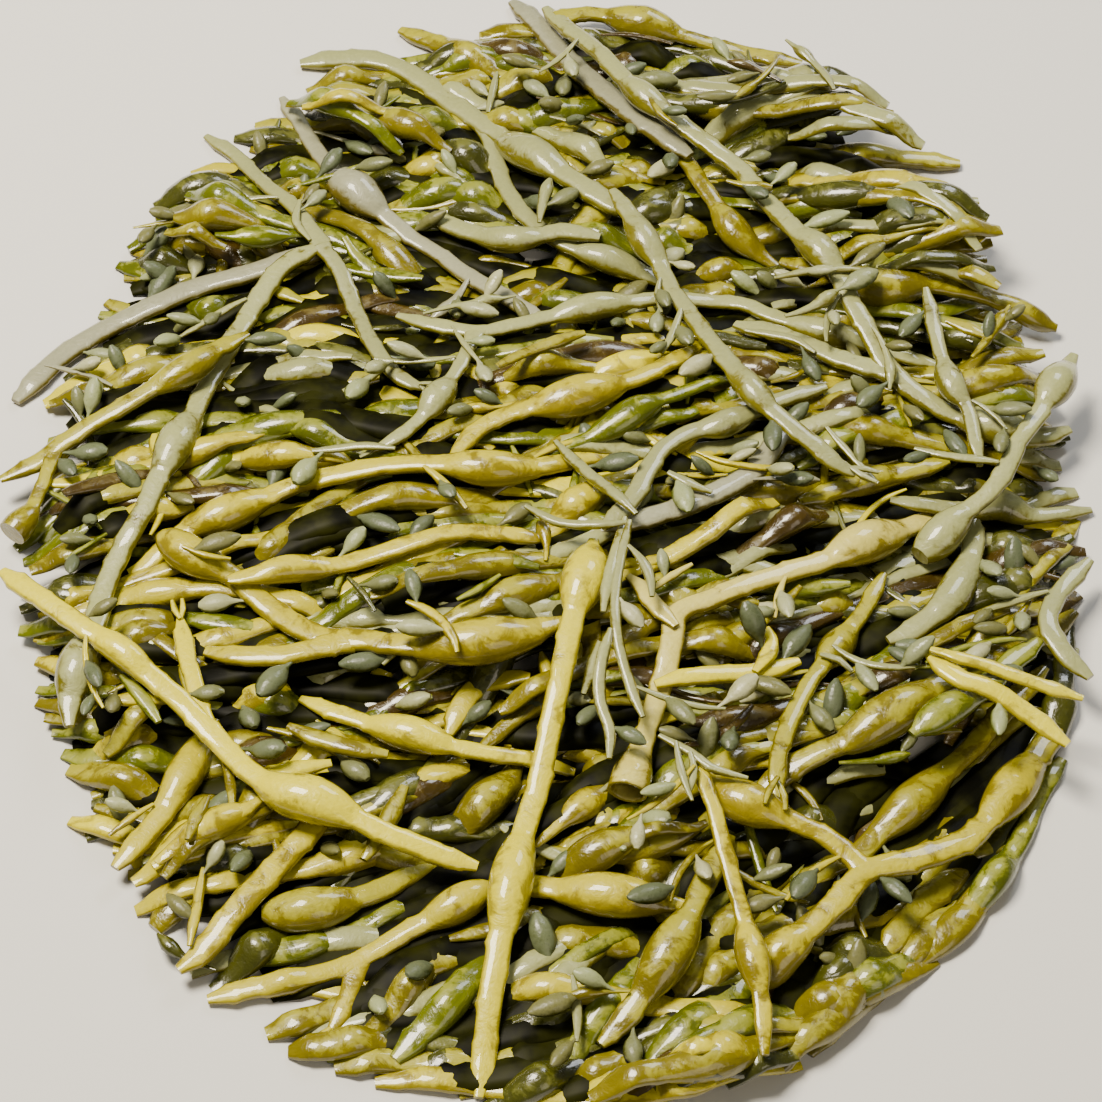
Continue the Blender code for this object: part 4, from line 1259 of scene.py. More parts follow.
# How fronds bear side shoots and receptacles. Lengths and distances are in millimetres, turns
# from the frond's direction in radians, and all are drawn between two ends.
BEAR_START = (4, 14)
BEAR_SPACING = (6, 16)
BEAR_TURN = (0.5, 1.25)
ARM_CHANCE = 0.4
ARM_WIDTHS = (0.65, 0.9)
ARM_LENGTH = (22, 60)
ARM_TURN = (0.4, 0.8)
ARM_BEND = (0.02, 0.1)
ARM_BLADDER_LENGTH = (20, 26)
ARM_BLADDER_WIDTH = (9, 12)
SIDE_CHANCE = 0.38
SIDE_LENGTH = (14, 42)
SIDE_WIDTH = (2.2, 4.0)
SIDE_BEND = (-0.22, 0.22)
SIDE_BLADDER_WIDTH = (4.5, 6.5)
SIDE_INSIDE = 0.98
BEND_STEP = 6 * MM
PRONG_LENGTH = (7, 14)
PRONG_TURN = (0.28, 0.5)

# Receptacles: lengths on fronds and on side shoots, widths and heights as shares, how steep
# they may climb, how far out they may reach in the round, and their colours, each a wet colour
# and a pale painted sheen for up-facing parts. The darker deep pairs stand for painted shade.
POD_LENGTH = (12, 19)
POD_WIDTHS = (0.38, 0.5)
SIDE_POD_LENGTH = (11, 18)
SIDE_POD_WIDTHS = (0.36, 0.48)
SIDE_POD_SPACING = (8, 18)
SIDE_POD_TURN = (0.3, 0.95)
POD_HEIGHTS = (0.55, 0.75)
POD_MIDDLE = 0.62
POD_CLIMB_MOST = 0.9
POD_INSIDE = 0.965
POD_PALE = [("6A6A24", "9C9F74"), ("747228", "A8A87E"), ("626A20", "90986A"), ("565C24", "868C64")]
POD_DEEP = [("3A4010", "5E6648"), ("323814", "545C42"), ("464A12", "6C7048"), ("44440F", "68683C")]


def settle_pod(base, direction, length, width, stage, layers, dice):
    """Points a pod from its base so that it lies free of what is below and above it."""
    thick = 0.3 * width
    middle = base[:2] + direction * length * POD_MIDDLE
    points = np.array([middle, middle + direction * length * 0.25, middle - direction * length * 0.2])
    floor = float(layers.floor(stage, points).max()) + thick
    ceiling = float(layers.ceiling(stage, points).min()) - thick
    thick = max(thick, 0.4 * width)
    if ceiling < floor or not inside_mat(base[:2] + direction * length, POD_INSIDE):
        return None
    height = min(max(base[2] + dice.uniform(-1, 3) * MM, floor), ceiling)
    climb = (height - base[2]) / (POD_MIDDLE * length)
    if abs(climb) > POD_CLIMB_MOST:
        return None
    along = np.array([direction[0], direction[1], climb])
    along /= np.linalg.norm(along)
    reach = np.linspace(0.35, 1.0, 4)[:, None] * length
    spots = base[None, :] + along[None, :] * reach
    layers.add(stage, spots[:, :2], spots[:, 2] + thick, spots[:, 2] - thick)
    # Pods in the lower stages more often take the darker deep pairs: painted shade.
    pairs = POD_PALE if dice.random() < 0.12 + 0.1 * stage else POD_DEEP
    return Pod(base, along, (length, width, width * dice.uniform(*POD_HEIGHTS)),
               dice.randrange(len(POD_FORMS)), dice.choice(pairs))


def turned(direction, angle):
    """A direction on the ground, turned to the left by an angle."""
    cos, sin = math.cos(angle), math.sin(angle)
    return np.array([cos * direction[0] - sin * direction[1],
                     sin * direction[0] + cos * direction[1]])


def bear(run, layers, dice, chance, pods, slims, arms=None, seen=None):
    """Puts receptacles and slim side shoots along a frond's edges.

    Some of a filling frond's side shoots are arms nearly as wide as the frond. An arm that would
    hide a traced frond is left out, and so is a receptacle that would hide one over much of its
    length; slim side shoots are kept.
    """
    place = dice.uniform(*BEAR_START) * MM
    way = dice.choice((-1, 1))
    while place < run.arcs[-1] - 3 * MM:
        spot, along, side = run.point(place)
        swelling = np.interp(place, run.arcs, run.swelling)
        if dice.random() < chance and swelling < 0.2:
            edge = np.interp(place, run.arcs, run.left if way > 0 else run.right)
            base = spot.copy()
            base[:2] += side * way * edge * 0.8
            direction = turned(along, way * dice.uniform(*BEAR_TURN))
            if arms is not None and dice.random() < ARM_CHANCE:
                arms += side_arm(run, spot, along, way, layers, dice, seen)
            elif dice.random() < SIDE_CHANCE:
                slims += side_shoot(base, direction, run, layers, dice, pods)
            else:
                length = dice.uniform(*POD_LENGTH) * MM
                pod = settle_pod(base, direction, length, dice.uniform(*POD_WIDTHS) * length,
                                 run.stage, layers, dice)
                if pod and not (seen and seen.crossed(pod.places()) > PODS_CROSSED_MOST):
                    pods.append(pod)
        way = -way
        place += dice.uniform(*BEAR_SPACING) * MM


def bent_path(start, direction, length, bend):
    """A path from a place on the ground that turns by a steady bend."""
    points = [start]
    heading = math.atan2(direction[1], direction[0])
    for _ in range(max(3, int(length / BEND_STEP))):
        heading += bend
        points.append(points[-1] + BEND_STEP * np.array([math.cos(heading), math.sin(heading)]))
    return smooth_path(np.array(points), LAY_STEP)


def side_arm(parent, spot, along, way, layers, dice, seen):
    """An arm that forks off a filling frond's middle and bends along with it."""
    width = parent.strand.width * dice.uniform(*ARM_WIDTHS)
    length = dice.uniform(*ARM_LENGTH) * MM
    path = bent_path(spot[:2], turned(along, way * dice.uniform(*ARM_TURN)), length,
                     -way * dice.uniform(*ARM_BEND))
    if not inside_mat(path[-1], SIDE_INSIDE):
        return []
    bladders = []
    if length > 40 * MM:
        bladders.append((path[int(len(path) * 0.6)], dice.uniform(*ARM_BLADDER_LENGTH) * MM,
                         dice.uniform(*ARM_BLADDER_WIDTH) * MM))
    strand = Strand("arm", parent.strand.colour, path, width, bladders)
    heights, squeeze, crowded = settle(strand, parent.stage, layers, spot[2])
    hidden = seen.crossed(upper_side(strand, heights, squeeze))
    if crowded > CROWDED_MOST["arm"] or hidden > CROSSED_MOST:
        return []
    mark_settled(strand, parent.stage, layers, heights, squeeze)
    run = Run(strand, FILL_SWEEP_STEP, heights, squeeze, parent.stage, dice, 0.8)
    run.wet, run.dry, run.film = parent.wet, parent.dry, parent.film
    return [run]


def side_shoot(base, direction, parent, layers, dice, pods):
    """A slim shoot from a frond's edge, with a few receptacles of its own."""
    length = dice.uniform(*SIDE_LENGTH) * MM
    path = bent_path(base[:2], direction, length, dice.uniform(*SIDE_BEND))
    bladders = []
    if dice.random() < 0.3:
        bladders.append((path[int(len(path) * 0.7)], 11 * MM,
                         dice.uniform(*SIDE_BLADDER_WIDTH) * MM))
    strand = Strand("side", parent.strand.colour, path, dice.uniform(*SIDE_WIDTH) * MM, bladders)
    heights, squeeze, crowded = settle(strand, parent.stage, layers, base[2])
    if crowded > CROWDED_MOST["side"] or not inside_mat(path[-1], SIDE_INSIDE):
        return []
    mark_settled(strand, parent.stage, layers, heights, squeeze)
    run = Run(strand, SLIM_STEP, heights, squeeze, parent.stage, dice, 0.7)
    way = dice.choice((-1, 1))
    place = length * 0.3
    while place < run.arcs[-1]:
        spot, along, _ = run.point(place)
        pod_direction = turned(along, way * dice.uniform(*SIDE_POD_TURN))
        size = dice.uniform(*SIDE_POD_LENGTH) * MM
        pod = settle_pod(spot, pod_direction, size, dice.uniform(*SIDE_POD_WIDTHS) * size,
                         parent.stage, layers, dice)
        if pod:
            pods.append(pod)
        way = -way
        place += dice.uniform(*SIDE_POD_SPACING) * MM
    return [run]


def forked_tip(run, layers, dice):
    """Two short prongs where a frond ends in a fork."""
    spot, along, _ = run.point(run.arcs[-1])
    prongs = []
    for way in (-1, 1):
        heading = turned(along, way * dice.uniform(*PRONG_TURN))
        length = dice.uniform(*PRONG_LENGTH) * MM
        start = spot[:2] - along * 2 * MM
        bend = turned(heading, -way * 0.25)
        points = np.array([start, start + heading * length * 0.5,
                           start + heading * length * 0.5 + bend * length * 0.5])
        path = smooth_path(points, LAY_STEP)
        strand = Strand("prong", run.strand.colour, path, run.strand.width * 0.55, [])
        heights, squeeze, _ = settle(strand, run.stage, layers, spot[2])
        prongs.append(Run(strand, SLIM_STEP, heights, squeeze, run.stage, dice, 0.3))
    return prongs


def add_node(tree, kind, settings=None, links=None):
    """Adds a node. settings holds its properties and its inputs' values, links its sources."""
    node = tree.nodes.new(kind)
    for key, value in (settings or {}).items():
        if isinstance(key, str) and key in node.bl_rna.properties:
            setattr(node, key, value)
        else:
            node.inputs[key].default_value = value
    for key, source in (links or {}).items():
        tree.links.new(source, node.inputs[key])
    return node


def new_tree(name, values):
    """An empty Geometry Nodes tree with named inputs, and its input and output nodes."""
    tree = bpy.data.node_groups.new(name, "GeometryNodeTree")
    tree.interface.new_socket("Geometry", in_out="INPUT", socket_type="NodeSocketGeometry")
    for label, (kind, value) in values.items():
        socket = tree.interface.new_socket(label, in_out="INPUT", socket_type=kind)
        socket.default_value = value
    tree.interface.new_socket("Geometry", in_out="OUTPUT", socket_type="NodeSocketGeometry")
    return tree, tree.nodes.new("NodeGroupInput"), tree.nodes.new("NodeGroupOutput")


def math_node(tree, operation, first, second=None):
    """A Math node's result, from sockets or plain numbers."""
    node = tree.nodes.new("ShaderNodeMath")
    node.operation = operation
    for index, value in enumerate((first, second)):
        if value is None:
            continue
        if isinstance(value, (int, float)):
            node.inputs[index].default_value = value
        else:
            tree.links.new(value, node.inputs[index])
    return node.outputs[0]


def times(tree, *factors):
    """The product of sockets and plain numbers."""
    product = factors[0]
    for factor in factors[1:]:
        product = math_node(tree, "MULTIPLY", product, factor)
    return product


def plus(tree, *terms):
    """The sum of sockets and plain numbers."""
    total = terms[0]
    for term in terms[1:]:
        total = math_node(tree, "ADD", total, term)
    return total


def scaled(tree, vector, factor):
    node = add_node(tree, "ShaderNodeVectorMath", {"operation": "SCALE"}, {0: vector})
    tree.links.new(factor, node.inputs["Scale"])
    return node.outputs[0]


def summed(tree, first, second):
    node = add_node(tree, "ShaderNodeVectorMath", {"operation": "ADD"}, {0: first, 1: second})
    return node.outputs[0]


def named(tree, name, kind="FLOAT"):
    return add_node(tree, "GeometryNodeInputNamedAttribute",
                    {"data_type": kind, "Name": name}).outputs["Attribute"]


def frond_tree(skin):
    """Sweeps a flattened, wrinkled skin along every path of a mesh of paths.

    A stem's section is flat on top with round edges; a bladder's is nearly round.
    """
    tree, start, end = new_tree("frond sweep", {
        "Sides": ("NodeSocketInt", TOP_SIDES),
        "Wrinkle depth": ("NodeSocketFloat", 0.2 * MM),
        "Wrinkle length": ("NodeSocketFloat", 7 * MM)})
    paths = add_node(tree, "GeometryNodeMeshToCurve", {}, {"Mesh": start.outputs["Geometry"]})
    ring = add_node(tree, "GeometryNodeCurvePrimitiveCircle", {"Radius": 1.0},
                    {"Resolution": start.outputs["Sides"]})
    index = tree.nodes.new("GeometryNodeInputIndex").outputs[0]
    turn = times(tree, math_node(tree, "DIVIDE", index, start.outputs["Sides"]), 2 * math.pi)
    marked = add_node(tree, "GeometryNodeStoreNamedAttribute",
                      {"data_type": "FLOAT", "domain": "POINT", "Name": "turn"},
                      {"Geometry": ring.outputs["Curve"], "Value": turn})
    swept = add_node(tree, "GeometryNodeCurveToMesh", {"Fill Caps": True},
                     {"Curve": paths.outputs["Curve"], "Profile Curve": marked.outputs["Geometry"]})
    turn = named(tree, "turn")
    across = math_node(tree, "COSINE", turn)
    upward = math_node(tree, "SINE", turn)
    left = math_node(tree, "GREATER_THAN", across, 0.0)
    right = math_node(tree, "SUBTRACT", 1.0, left)
    width = plus(tree, times(tree, named(tree, "left"), left),
                 times(tree, named(tree, "right"), right))
    lifted = times(tree, math_node(tree, "SIGN", upward),
                   math_node(tree, "POWER", math_node(tree, "ABSOLUTE", upward),
                             named(tree, "blunt")))
    wave = add_node(tree, "ShaderNodeCombineXYZ", {}, {
        "X": math_node(tree, "DIVIDE", named(tree, "arc"), start.outputs["Wrinkle length"]),
        "Y": plus(tree, times(tree, across, 1.6), named(tree, "seed")),
        "Z": times(tree, upward, 1.6)})
    noise = add_node(tree, "ShaderNodeTexNoise", {"Scale": 1.0, "Detail": 3.0, "Roughness": 0.6},
                     {"Vector": wave.outputs[0]})
    wrinkle = times(tree, math_node(tree, "SUBTRACT", noise.outputs[0], 0.5),
                    start.outputs["Wrinkle depth"], named(tree, "loose"))
    reach = plus(tree, times(tree, width, across), times(tree, wrinkle, across))
    rise = plus(tree, times(tree, named(tree, "thick"), lifted), times(tree, wrinkle, upward))
    place = summed(tree, named(tree, "middle", "FLOAT_VECTOR"),
                   scaled(tree, named(tree, "side", "FLOAT_VECTOR"), reach))
    place = summed(tree, place, scaled(tree, named(tree, "lift", "FLOAT_VECTOR"), rise))
    placed = add_node(tree, "GeometryNodeSetPosition", {},
                      {"Geometry": swept.outputs["Mesh"], "Position": place})
    rim = add_node(tree, "GeometryNodeStoreNamedAttribute",
                   {"data_type": "FLOAT", "domain": "POINT", "Name": "rim"},
                   {"Geometry": placed.outputs[0], "Value": math_node(tree, "ABSOLUTE", across)})
    smooth = add_node(tree, "GeometryNodeSetShadeSmooth", {}, {"Geometry": rim.outputs[0]})
    real = add_node(tree, "GeometryNodeRealizeInstances", {}, {"Geometry": smooth.outputs[0]})
    skinned = add_node(tree, "GeometryNodeSetMaterial", {"Material": skin},
                       {"Geometry": real.outputs[0]})
    tree.links.new(skinned.outputs[0], end.inputs[0])
    return tree


def pod_outline(tree, radii):
    """A Float Curve through a pod's half widths, evenly spaced from its stalk to its tip."""
    factor = tree.nodes.new("GeometryNodeSplineParameter").outputs["Factor"]
    outline = add_node(tree, "ShaderNodeFloatCurve", {}, {"Value": factor})
    line = outline.mapping.curves[0]
    line.points[0].location = (0.0, radii[0])
    line.points[1].location = (1.0, radii[-1])
    for number, radius in enumerate(radii[1:-1], 1):
        line.points.new(number / (len(radii) - 1), radius)
    outline.mapping.update()
    return outline.outputs[0]


# Half widths of three forms of receptacle, from stalk to tip, as shares of its width.
POD_FORMS = [(0.09, 0.10, 0.26, 0.44, 0.50, 0.50, 0.47, 0.36, 0.13),
             (0.10, 0.20, 0.40, 0.49, 0.50, 0.49, 0.43, 0.31, 0.10),
             (0.08, 0.09, 0.14, 0.32, 0.45, 0.50, 0.49, 0.40, 0.15)]
POD_BENDS = (0.10, -0.12, 0.16)


def pod_tree(skin):
    """Puts a stalked receptacle on each point, turned and sized by the point's values."""
    tree, start, end = new_tree("receptacles", {
        "Sides": ("NodeSocketInt", 7), "Rings": ("NodeSocketInt", 8)})
    forms = tree.nodes.new("GeometryNodeJoinGeometry")
    for radii, bend in reversed(list(zip(POD_FORMS, POD_BENDS))):
        line = add_node(tree, "GeometryNodeCurvePrimitiveLine", {"End": (1.0, 0.0, 0.0)})
        rings = add_node(tree, "GeometryNodeResampleCurve", {},
                         {"Curve": line.outputs[0], "Count": start.outputs["Rings"]})
        circle = add_node(tree, "GeometryNodeCurvePrimitiveCircle", {"Radius": 1.0},
                          {"Resolution": start.outputs["Sides"]})
        swept = add_node(tree, "GeometryNodeCurveToMesh", {"Fill Caps": True}, {
            "Curve": rings.outputs[0], "Profile Curve": circle.outputs["Curve"],
            "Scale": pod_outline(tree, radii)})
        spot = add_node(tree, "ShaderNodeSeparateXYZ", {},
                        {0: tree.nodes.new("GeometryNodeInputPosition").outputs[0]})
        arch = times(tree, spot.outputs[0], spot.outputs[0], bend)
        offset = add_node(tree, "ShaderNodeCombineXYZ", {}, {"Y": arch})
        bent = add_node(tree, "GeometryNodeSetPosition", {},
                        {"Geometry": swept.outputs[0], "Offset": offset.outputs[0]})
        one = add_node(tree, "GeometryNodeGeometryToInstance", {}, {0: bent.outputs[0]})
        tree.links.new(one.outputs[0], forms.inputs[0])
    turn = add_node(tree, "FunctionNodeAlignRotationToVector", {"axis": "X"},
                    {"Vector": named(tree, "along", "FLOAT_VECTOR")})
    level = add_node(tree, "FunctionNodeAlignRotationToVector",
                     {"axis": "Z", "pivot_axis": "X"},
                     {"Rotation": turn.outputs[0], "Vector": named(tree, "over", "FLOAT_VECTOR")})
    placed = add_node(tree, "GeometryNodeInstanceOnPoints", {"Pick Instance": True}, {
        "Points": start.outputs["Geometry"], "Instance": forms.outputs[0],
        "Instance Index": named(tree, "kind", "INT"), "Rotation": level.outputs[0],
        "Scale": named(tree, "size", "FLOAT_VECTOR")})
    real = add_node(tree, "GeometryNodeRealizeInstances", {}, {"Geometry": placed.outputs[0]})
    smooth = add_node(tree, "GeometryNodeSetShadeSmooth", {}, {"Geometry": real.outputs[0]})
    skinned = add_node(tree, "GeometryNodeSetMaterial", {"Material": skin},
                       {"Geometry": smooth.outputs[0]})
    tree.links.new(skinned.outputs[0], end.inputs[0])
    return tree


def give(mesh, name, kind, values):
    """Stores one value for each point of a mesh."""
    field = {"FLOAT": "value", "INT": "value", "FLOAT_VECTOR": "vector", "FLOAT_COLOR": "color"}
    layer = mesh.attributes.new(name, kind, "POINT")
    layer.data.foreach_set(field[kind], np.ascontiguousarray(values).ravel())


def made_real(source, name, tree, values):
    """Runs a tree on a mesh of paths or points and returns the result as a plain piece."""
    guide = bpy.data.objects.new("guide", source)
    bpy.context.scene.collection.objects.link(guide)
    modifier = guide.modifiers.new("make", "NODES")
    modifier.node_group = tree
    sockets = {item.name: item.identifier for item in tree.interface.items_tree
               if item.item_type == "SOCKET" and item.in_out == "INPUT"}
    for label, value in values.items():
        modifier[sockets[label]] = value
    guide.update_tag()
    bpy.context.view_layer.update()
    graph = bpy.context.evaluated_depsgraph_get()
    mesh = bpy.data.meshes.new_from_object(guide.evaluated_get(graph), depsgraph=graph,
                                           preserve_all_data_layers=True)
    bpy.data.objects.remove(guide, do_unlink=True)
    bpy.data.meshes.remove(source)
    for layer in ("middle", "side", "lift", "left", "right", "thick", "blunt", "loose", "turn",
                  "along", "over", "size", "kind"):
        if layer in mesh.attributes:
            mesh.attributes.remove(mesh.attributes[layer])
    piece = bpy.data.objects.new(name, mesh)
    mesh.name = name
    bpy.context.scene.collection.objects.link(piece)
    turn_outward(mesh)
    return piece


def turn_outward(mesh):
    """Turns the faces of a closed mesh outward if its volume comes out negative."""
    mesh.calc_loop_triangles()
    corners = np.empty(len(mesh.loop_triangles) * 3, int)
    mesh.loop_triangles.foreach_get("vertices", corners)
    points = np.empty(len(mesh.vertices) * 3)
    mesh.vertices.foreach_get("co", points)
    a, b, c = points.reshape(-1, 3)[corners.reshape(-1, 3)].transpose(1, 0, 2)
    if np.einsum("ij,ij->i", a, np.cross(b, c)).sum() < 0:
        mesh.flip_normals()


def frond_piece(name, runs, around, wrinkle, tree):
    """One piece from the runs of one or more fronds."""
    mesh = bpy.data.meshes.new("paths")
    points = np.vstack([run.centres for run in runs])
    edges = []
    first = 0
    for run in runs:
        last = first + len(run.arcs) - 1
        edges += [(i, i + 1) for i in range(first, last)]
        first = last + 1
    mesh.from_pydata(points.tolist(), edges, [])
    sides = np.vstack([run.sides for run in runs])
    flat = np.concatenate([run.swelling for run in runs])
    give(mesh, "middle", "FLOAT_VECTOR", points)
    give(mesh, "side", "FLOAT_VECTOR", np.column_stack([sides, np.zeros(len(points))]))
    give(mesh, "lift", "FLOAT_VECTOR", np.tile([0.0, 0.0, 1.0], (len(points), 1)))
    for label, part in (("left", "left"), ("right", "right"), ("thick", "half_height"),
                        ("arc", "arcs")):
        give(mesh, label, "FLOAT", np.concatenate([getattr(run, part) for run in runs]))
    give(mesh, "blunt", "FLOAT", 0.62 + 0.38 * flat)
    give(mesh, "loose", "FLOAT", 1.0 - 0.6 * flat)
    # The share and the second colour stored next are for the painted sheen, a pale sky reflection painted
    # on up-facing tops.
    for label in ("seed", "film"):
        give(mesh, label, "FLOAT",
             np.concatenate([np.full(len(run.arcs), getattr(run, label)) for run in runs]))
    for label in ("wet", "dry"):
        shades = [np.tile([*getattr(run, label), 1.0], (len(run.arcs), 1)) for run in runs]
        give(mesh, label, "FLOAT_COLOR", np.vstack(shades))
    piece = made_real(mesh, name, tree, {"Sides": around, "Wrinkle depth": wrinkle})
    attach(piece, "root")
    return piece


def pod_piece(name, pods, tree):
    """One piece with all the receptacles."""
    mesh = bpy.data.meshes.new("spots")
    mesh.from_pydata([tuple(pod.base) for pod in pods], [], [])
    along = np.array([pod.along for pod in pods])
    over = np.array([0.0, 0.0, 1.0]) - along * along[:, 2:3]
    give(mesh, "along", "FLOAT_VECTOR", along)
    give(mesh, "over", "FLOAT_VECTOR", over)
    give(mesh, "size", "FLOAT_VECTOR", np.array([pod.size for pod in pods]))
    give(mesh, "kind", "INT", np.array([pod.kind for pod in pods], dtype=np.int32))
    # Each pod's wet colour and the pale colour of its painted sheen, for up-facing parts.
    for number, label in enumerate(("wet", "dry")):
        shades = np.array([[*linear_colour(pod.finish[number]), 1.0] for pod in pods])
        give(mesh, label, "FLOAT_COLOR", shades)
    piece = made_real(mesh, name, tree, {})
    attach(piece, "root")


def attribute(tree, name, output="Color"):
    """What a piece has stored under a name."""
    return add_node(tree, "ShaderNodeAttribute", {"attribute_name": name}).outputs[output]


def new_skin(name):
    """A material, its nodes, its shader, and the places on its object."""
    skin = bpy.data.materials.new(name)
    skin.use_nodes = True
    tree = skin.node_tree
    places = tree.nodes.new("ShaderNodeTexCoord").outputs["Object"]
    return skin, tree, tree.nodes["Principled BSDF"], places


def noise_at(tree, places, scale, detail, **more):
    """A noise texture with its scale and detail, and with other inputs set where they matter."""
    return add_node(tree, "ShaderNodeTexNoise", {"Scale": scale, "Detail": detail, **more},
                    {"Vector": places}).outputs[0]


def upness(tree):
    """How much the surface faces up, from -1 to 1."""
    normal = tree.nodes.new("ShaderNodeNewGeometry").outputs["Normal"]
    return add_node(tree, "ShaderNodeSeparateXYZ", {}, {0: normal}).outputs[2]


def mixed(tree, share, first, second):
    """A colour between two others."""
    node = add_node(tree, "ShaderNodeMix", {"data_type": "RGBA"}, {0: share, 6: first, 7: second})
    return node.outputs[2]


def eased(tree, value, low, high, first=0.0, second=1.0):
    """A value mapped smoothly from one range to another."""
    node = add_node(tree, "ShaderNodeMapRange", {
        "interpolation_type": "SMOOTHSTEP", 1: low, 2: high, 3: first, 4: second}, {0: value})
    return node.outputs[0]


def bumped(tree, height, strength, distance):
    """A normal that a height bends."""
    return add_node(tree, "ShaderNodeBump", {"Strength": strength, "Distance": distance},
                    {"Height": height}).outputs[0]


def plain_colour(tree, colour):
    node = add_node(tree, "ShaderNodeRGB")
    node.outputs[0].default_value = (*linear_colour(colour), 1)
    return node.outputs[0]


def set_shader(tree, shader, values):
    """Sets a shader's inputs: a number goes on the socket itself, anything else is linked."""
    for label, value in values.items():
        if isinstance(value, float):
            shader.inputs[label].default_value = value
        else:
            tree.links.new(value, shader.inputs[label])


def frond_skin():
    """Wet leathery rockweed: glossy olive skin, with a pale, rougher painted sheen, a sky reflection
    painted on its up-facing top.
    """
    skin, tree, shader, places = new_skin("wet rockweed skin with painted sheen")
    patches = noise_at(tree, places, 105.0, 4.0, Roughness=0.62, Distortion=0.6)
    grain = noise_at(tree, places, 620.0, 4.0, Roughness=0.6)
    # Painted sheen: the pale colour goes where the surface faces up, in noisy patches, and less at the
    # frond's edges.
    cover = plus(tree, times(tree, upness(tree), 0.85),
                 times(tree, attribute(tree, "film", "Fac"), 0.9),
                 times(tree, patches, 1.3), times(tree, grain, 0.2))
    rim = eased(tree, attribute(tree, "rim", "Fac"), 0.7, 1.0, 0.0, 0.8)
    painted_sheen_mask = times(tree, eased(tree, cover, 1.66, 1.9), math_node(tree, "SUBTRACT", 1.0, rim))
    wet = scaled(tree, attribute(tree, "wet"), eased(tree, patches, 0.3, 0.72, 0.78, 1.16))
    dry = scaled(tree, attribute(tree, "dry"), eased(tree, grain, 0.28, 0.74, 0.92, 1.06))
    relief = plus(tree, grain, times(tree, patches, 5.0))
    set_shader(tree, shader, {
        "Base Color": mixed(tree, painted_sheen_mask, wet, dry),
        "Roughness": eased(tree, painted_sheen_mask, 0.0, 1.0, 0.24, 0.42),
        "Normal": bumped(tree, relief, 0.4, 0.45 * MM),
        "Coat Weight": 1.0, "Coat Roughness": 0.04, "Coat IOR": 1.4, "IOR": 1.42})
    return skin


def deep_painted_shade_skin():
    """Fronds deep in the tangle: their colour darkened nearly to black as painted shade, and too shaded
    to shine.
    """
    skin, tree, shader, places = new_skin("rockweed skin darkened as painted shade")
    patches = noise_at(tree, places, 90.0, 3.0)
    # Painted shade: the base colour is the wet colour cut to between 4 and 35 per cent.
    set_shader(tree, shader, {
        "Base Color": scaled(tree, attribute(tree, "wet"),
                             eased(tree, patches, 0.35, 0.7, 0.04, 0.35)),
        "Roughness": 0.45, "IOR": 1.33, "Specular IOR Level": 0.12})
    return skin


def pod_skin():
    """Receptacles: satin grey-green skin, dotted with fine pores about a millimetre apart, paler where it
    faces up as a painted sheen.
    """
    skin, tree, shader, places = new_skin("receptacle skin")
    pores = add_node(tree, "ShaderNodeTexVoronoi", {"Scale": 900.0}, {"Vector": places}).outputs[0]
    mottle = noise_at(tree, places, 240.0, 3.0)
    # Painted sheen: the pale second colour goes where the surface faces up, its edge broken by mottle.
    share = eased(tree, plus(tree, times(tree, upness(tree), 0.5), mottle), 0.45, 0.9)
    colour = mixed(tree, share, attribute(tree, "wet"), attribute(tree, "dry"))
    set_shader(tree, shader, {
        "Base Color": scaled(tree, colour, eased(tree, pores, 0.0, 0.35, 0.74, 1.05)),
        "Roughness": eased(tree, mottle, 0.3, 0.7, 0.24, 0.46),
        "Normal": bumped(tree, pores, 0.3, 0.25 * MM), "IOR": 1.42})
    return skin


def holdfast_skin():
    """The holdfast: tough dark brown tissue, darker and glossier in the low parts of its folds."""
    skin, tree, shader, places = new_skin("holdfast skin")
    folds = noise_at(tree, places, 160.0, 5.0)
    # The colour is darker where the folds' bump is lowest.
    colour = mixed(tree, eased(tree, folds, 0.35, 0.65), plain_colour(tree, "2E2410"),
                   plain_colour(tree, "6A5830"))
    set_shader(tree, shader, {
        "Base Color": colour, "Roughness": eased(tree, folds, 0.3, 0.7, 0.35, 0.6),
        "Normal": bumped(tree, folds, 0.5, 0.8 * MM)})
    return skin


def holdfast_piece(skin):
    """The holdfast's lobed dome with root-like ridges that run down to its flat cut."""
    rings, turns = 14, 112
    points = []
    for ring in range(rings + 1):
        fall = ring / rings * math.pi / 2
        for turn in range(turns):
            angle = 2 * math.pi * turn / turns
            ridge = 0.05 * math.sin(21 * angle + 2 * math.sin(3 * angle)) * math.sin(fall)
            reach = holdfast_outline(angle) * (math.sin(fall) * (1 + ridge) + 1e-4) * 0.985
            points.append((reach * math.cos(angle), reach * math.sin(angle),
                           HOLDFAST_HEIGHT * 0.97 * math.cos(fall) * (1 + ridge)))
    faces = []
    for ring in range(rings):
        for turn in range(turns):
            a = ring * turns + turn
            b = ring * turns + (turn + 1) % turns
            faces.append((a, a + turns, b + turns, b))
    faces.append(tuple(range(turns))[::-1])
    faces.append(tuple(range(rings * turns, (rings + 1) * turns)))
    mesh = bpy.data.meshes.new("holdfast_dome")
    mesh.from_pydata(points, [], faces)
    turn_outward(mesh)
    mesh.shade_smooth()
    mesh.materials.append(skin)
    piece = bpy.data.objects.new("holdfast_dome", mesh)
    bpy.context.scene.collection.objects.link(piece)
    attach(piece, "root")
    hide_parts("holdfast")


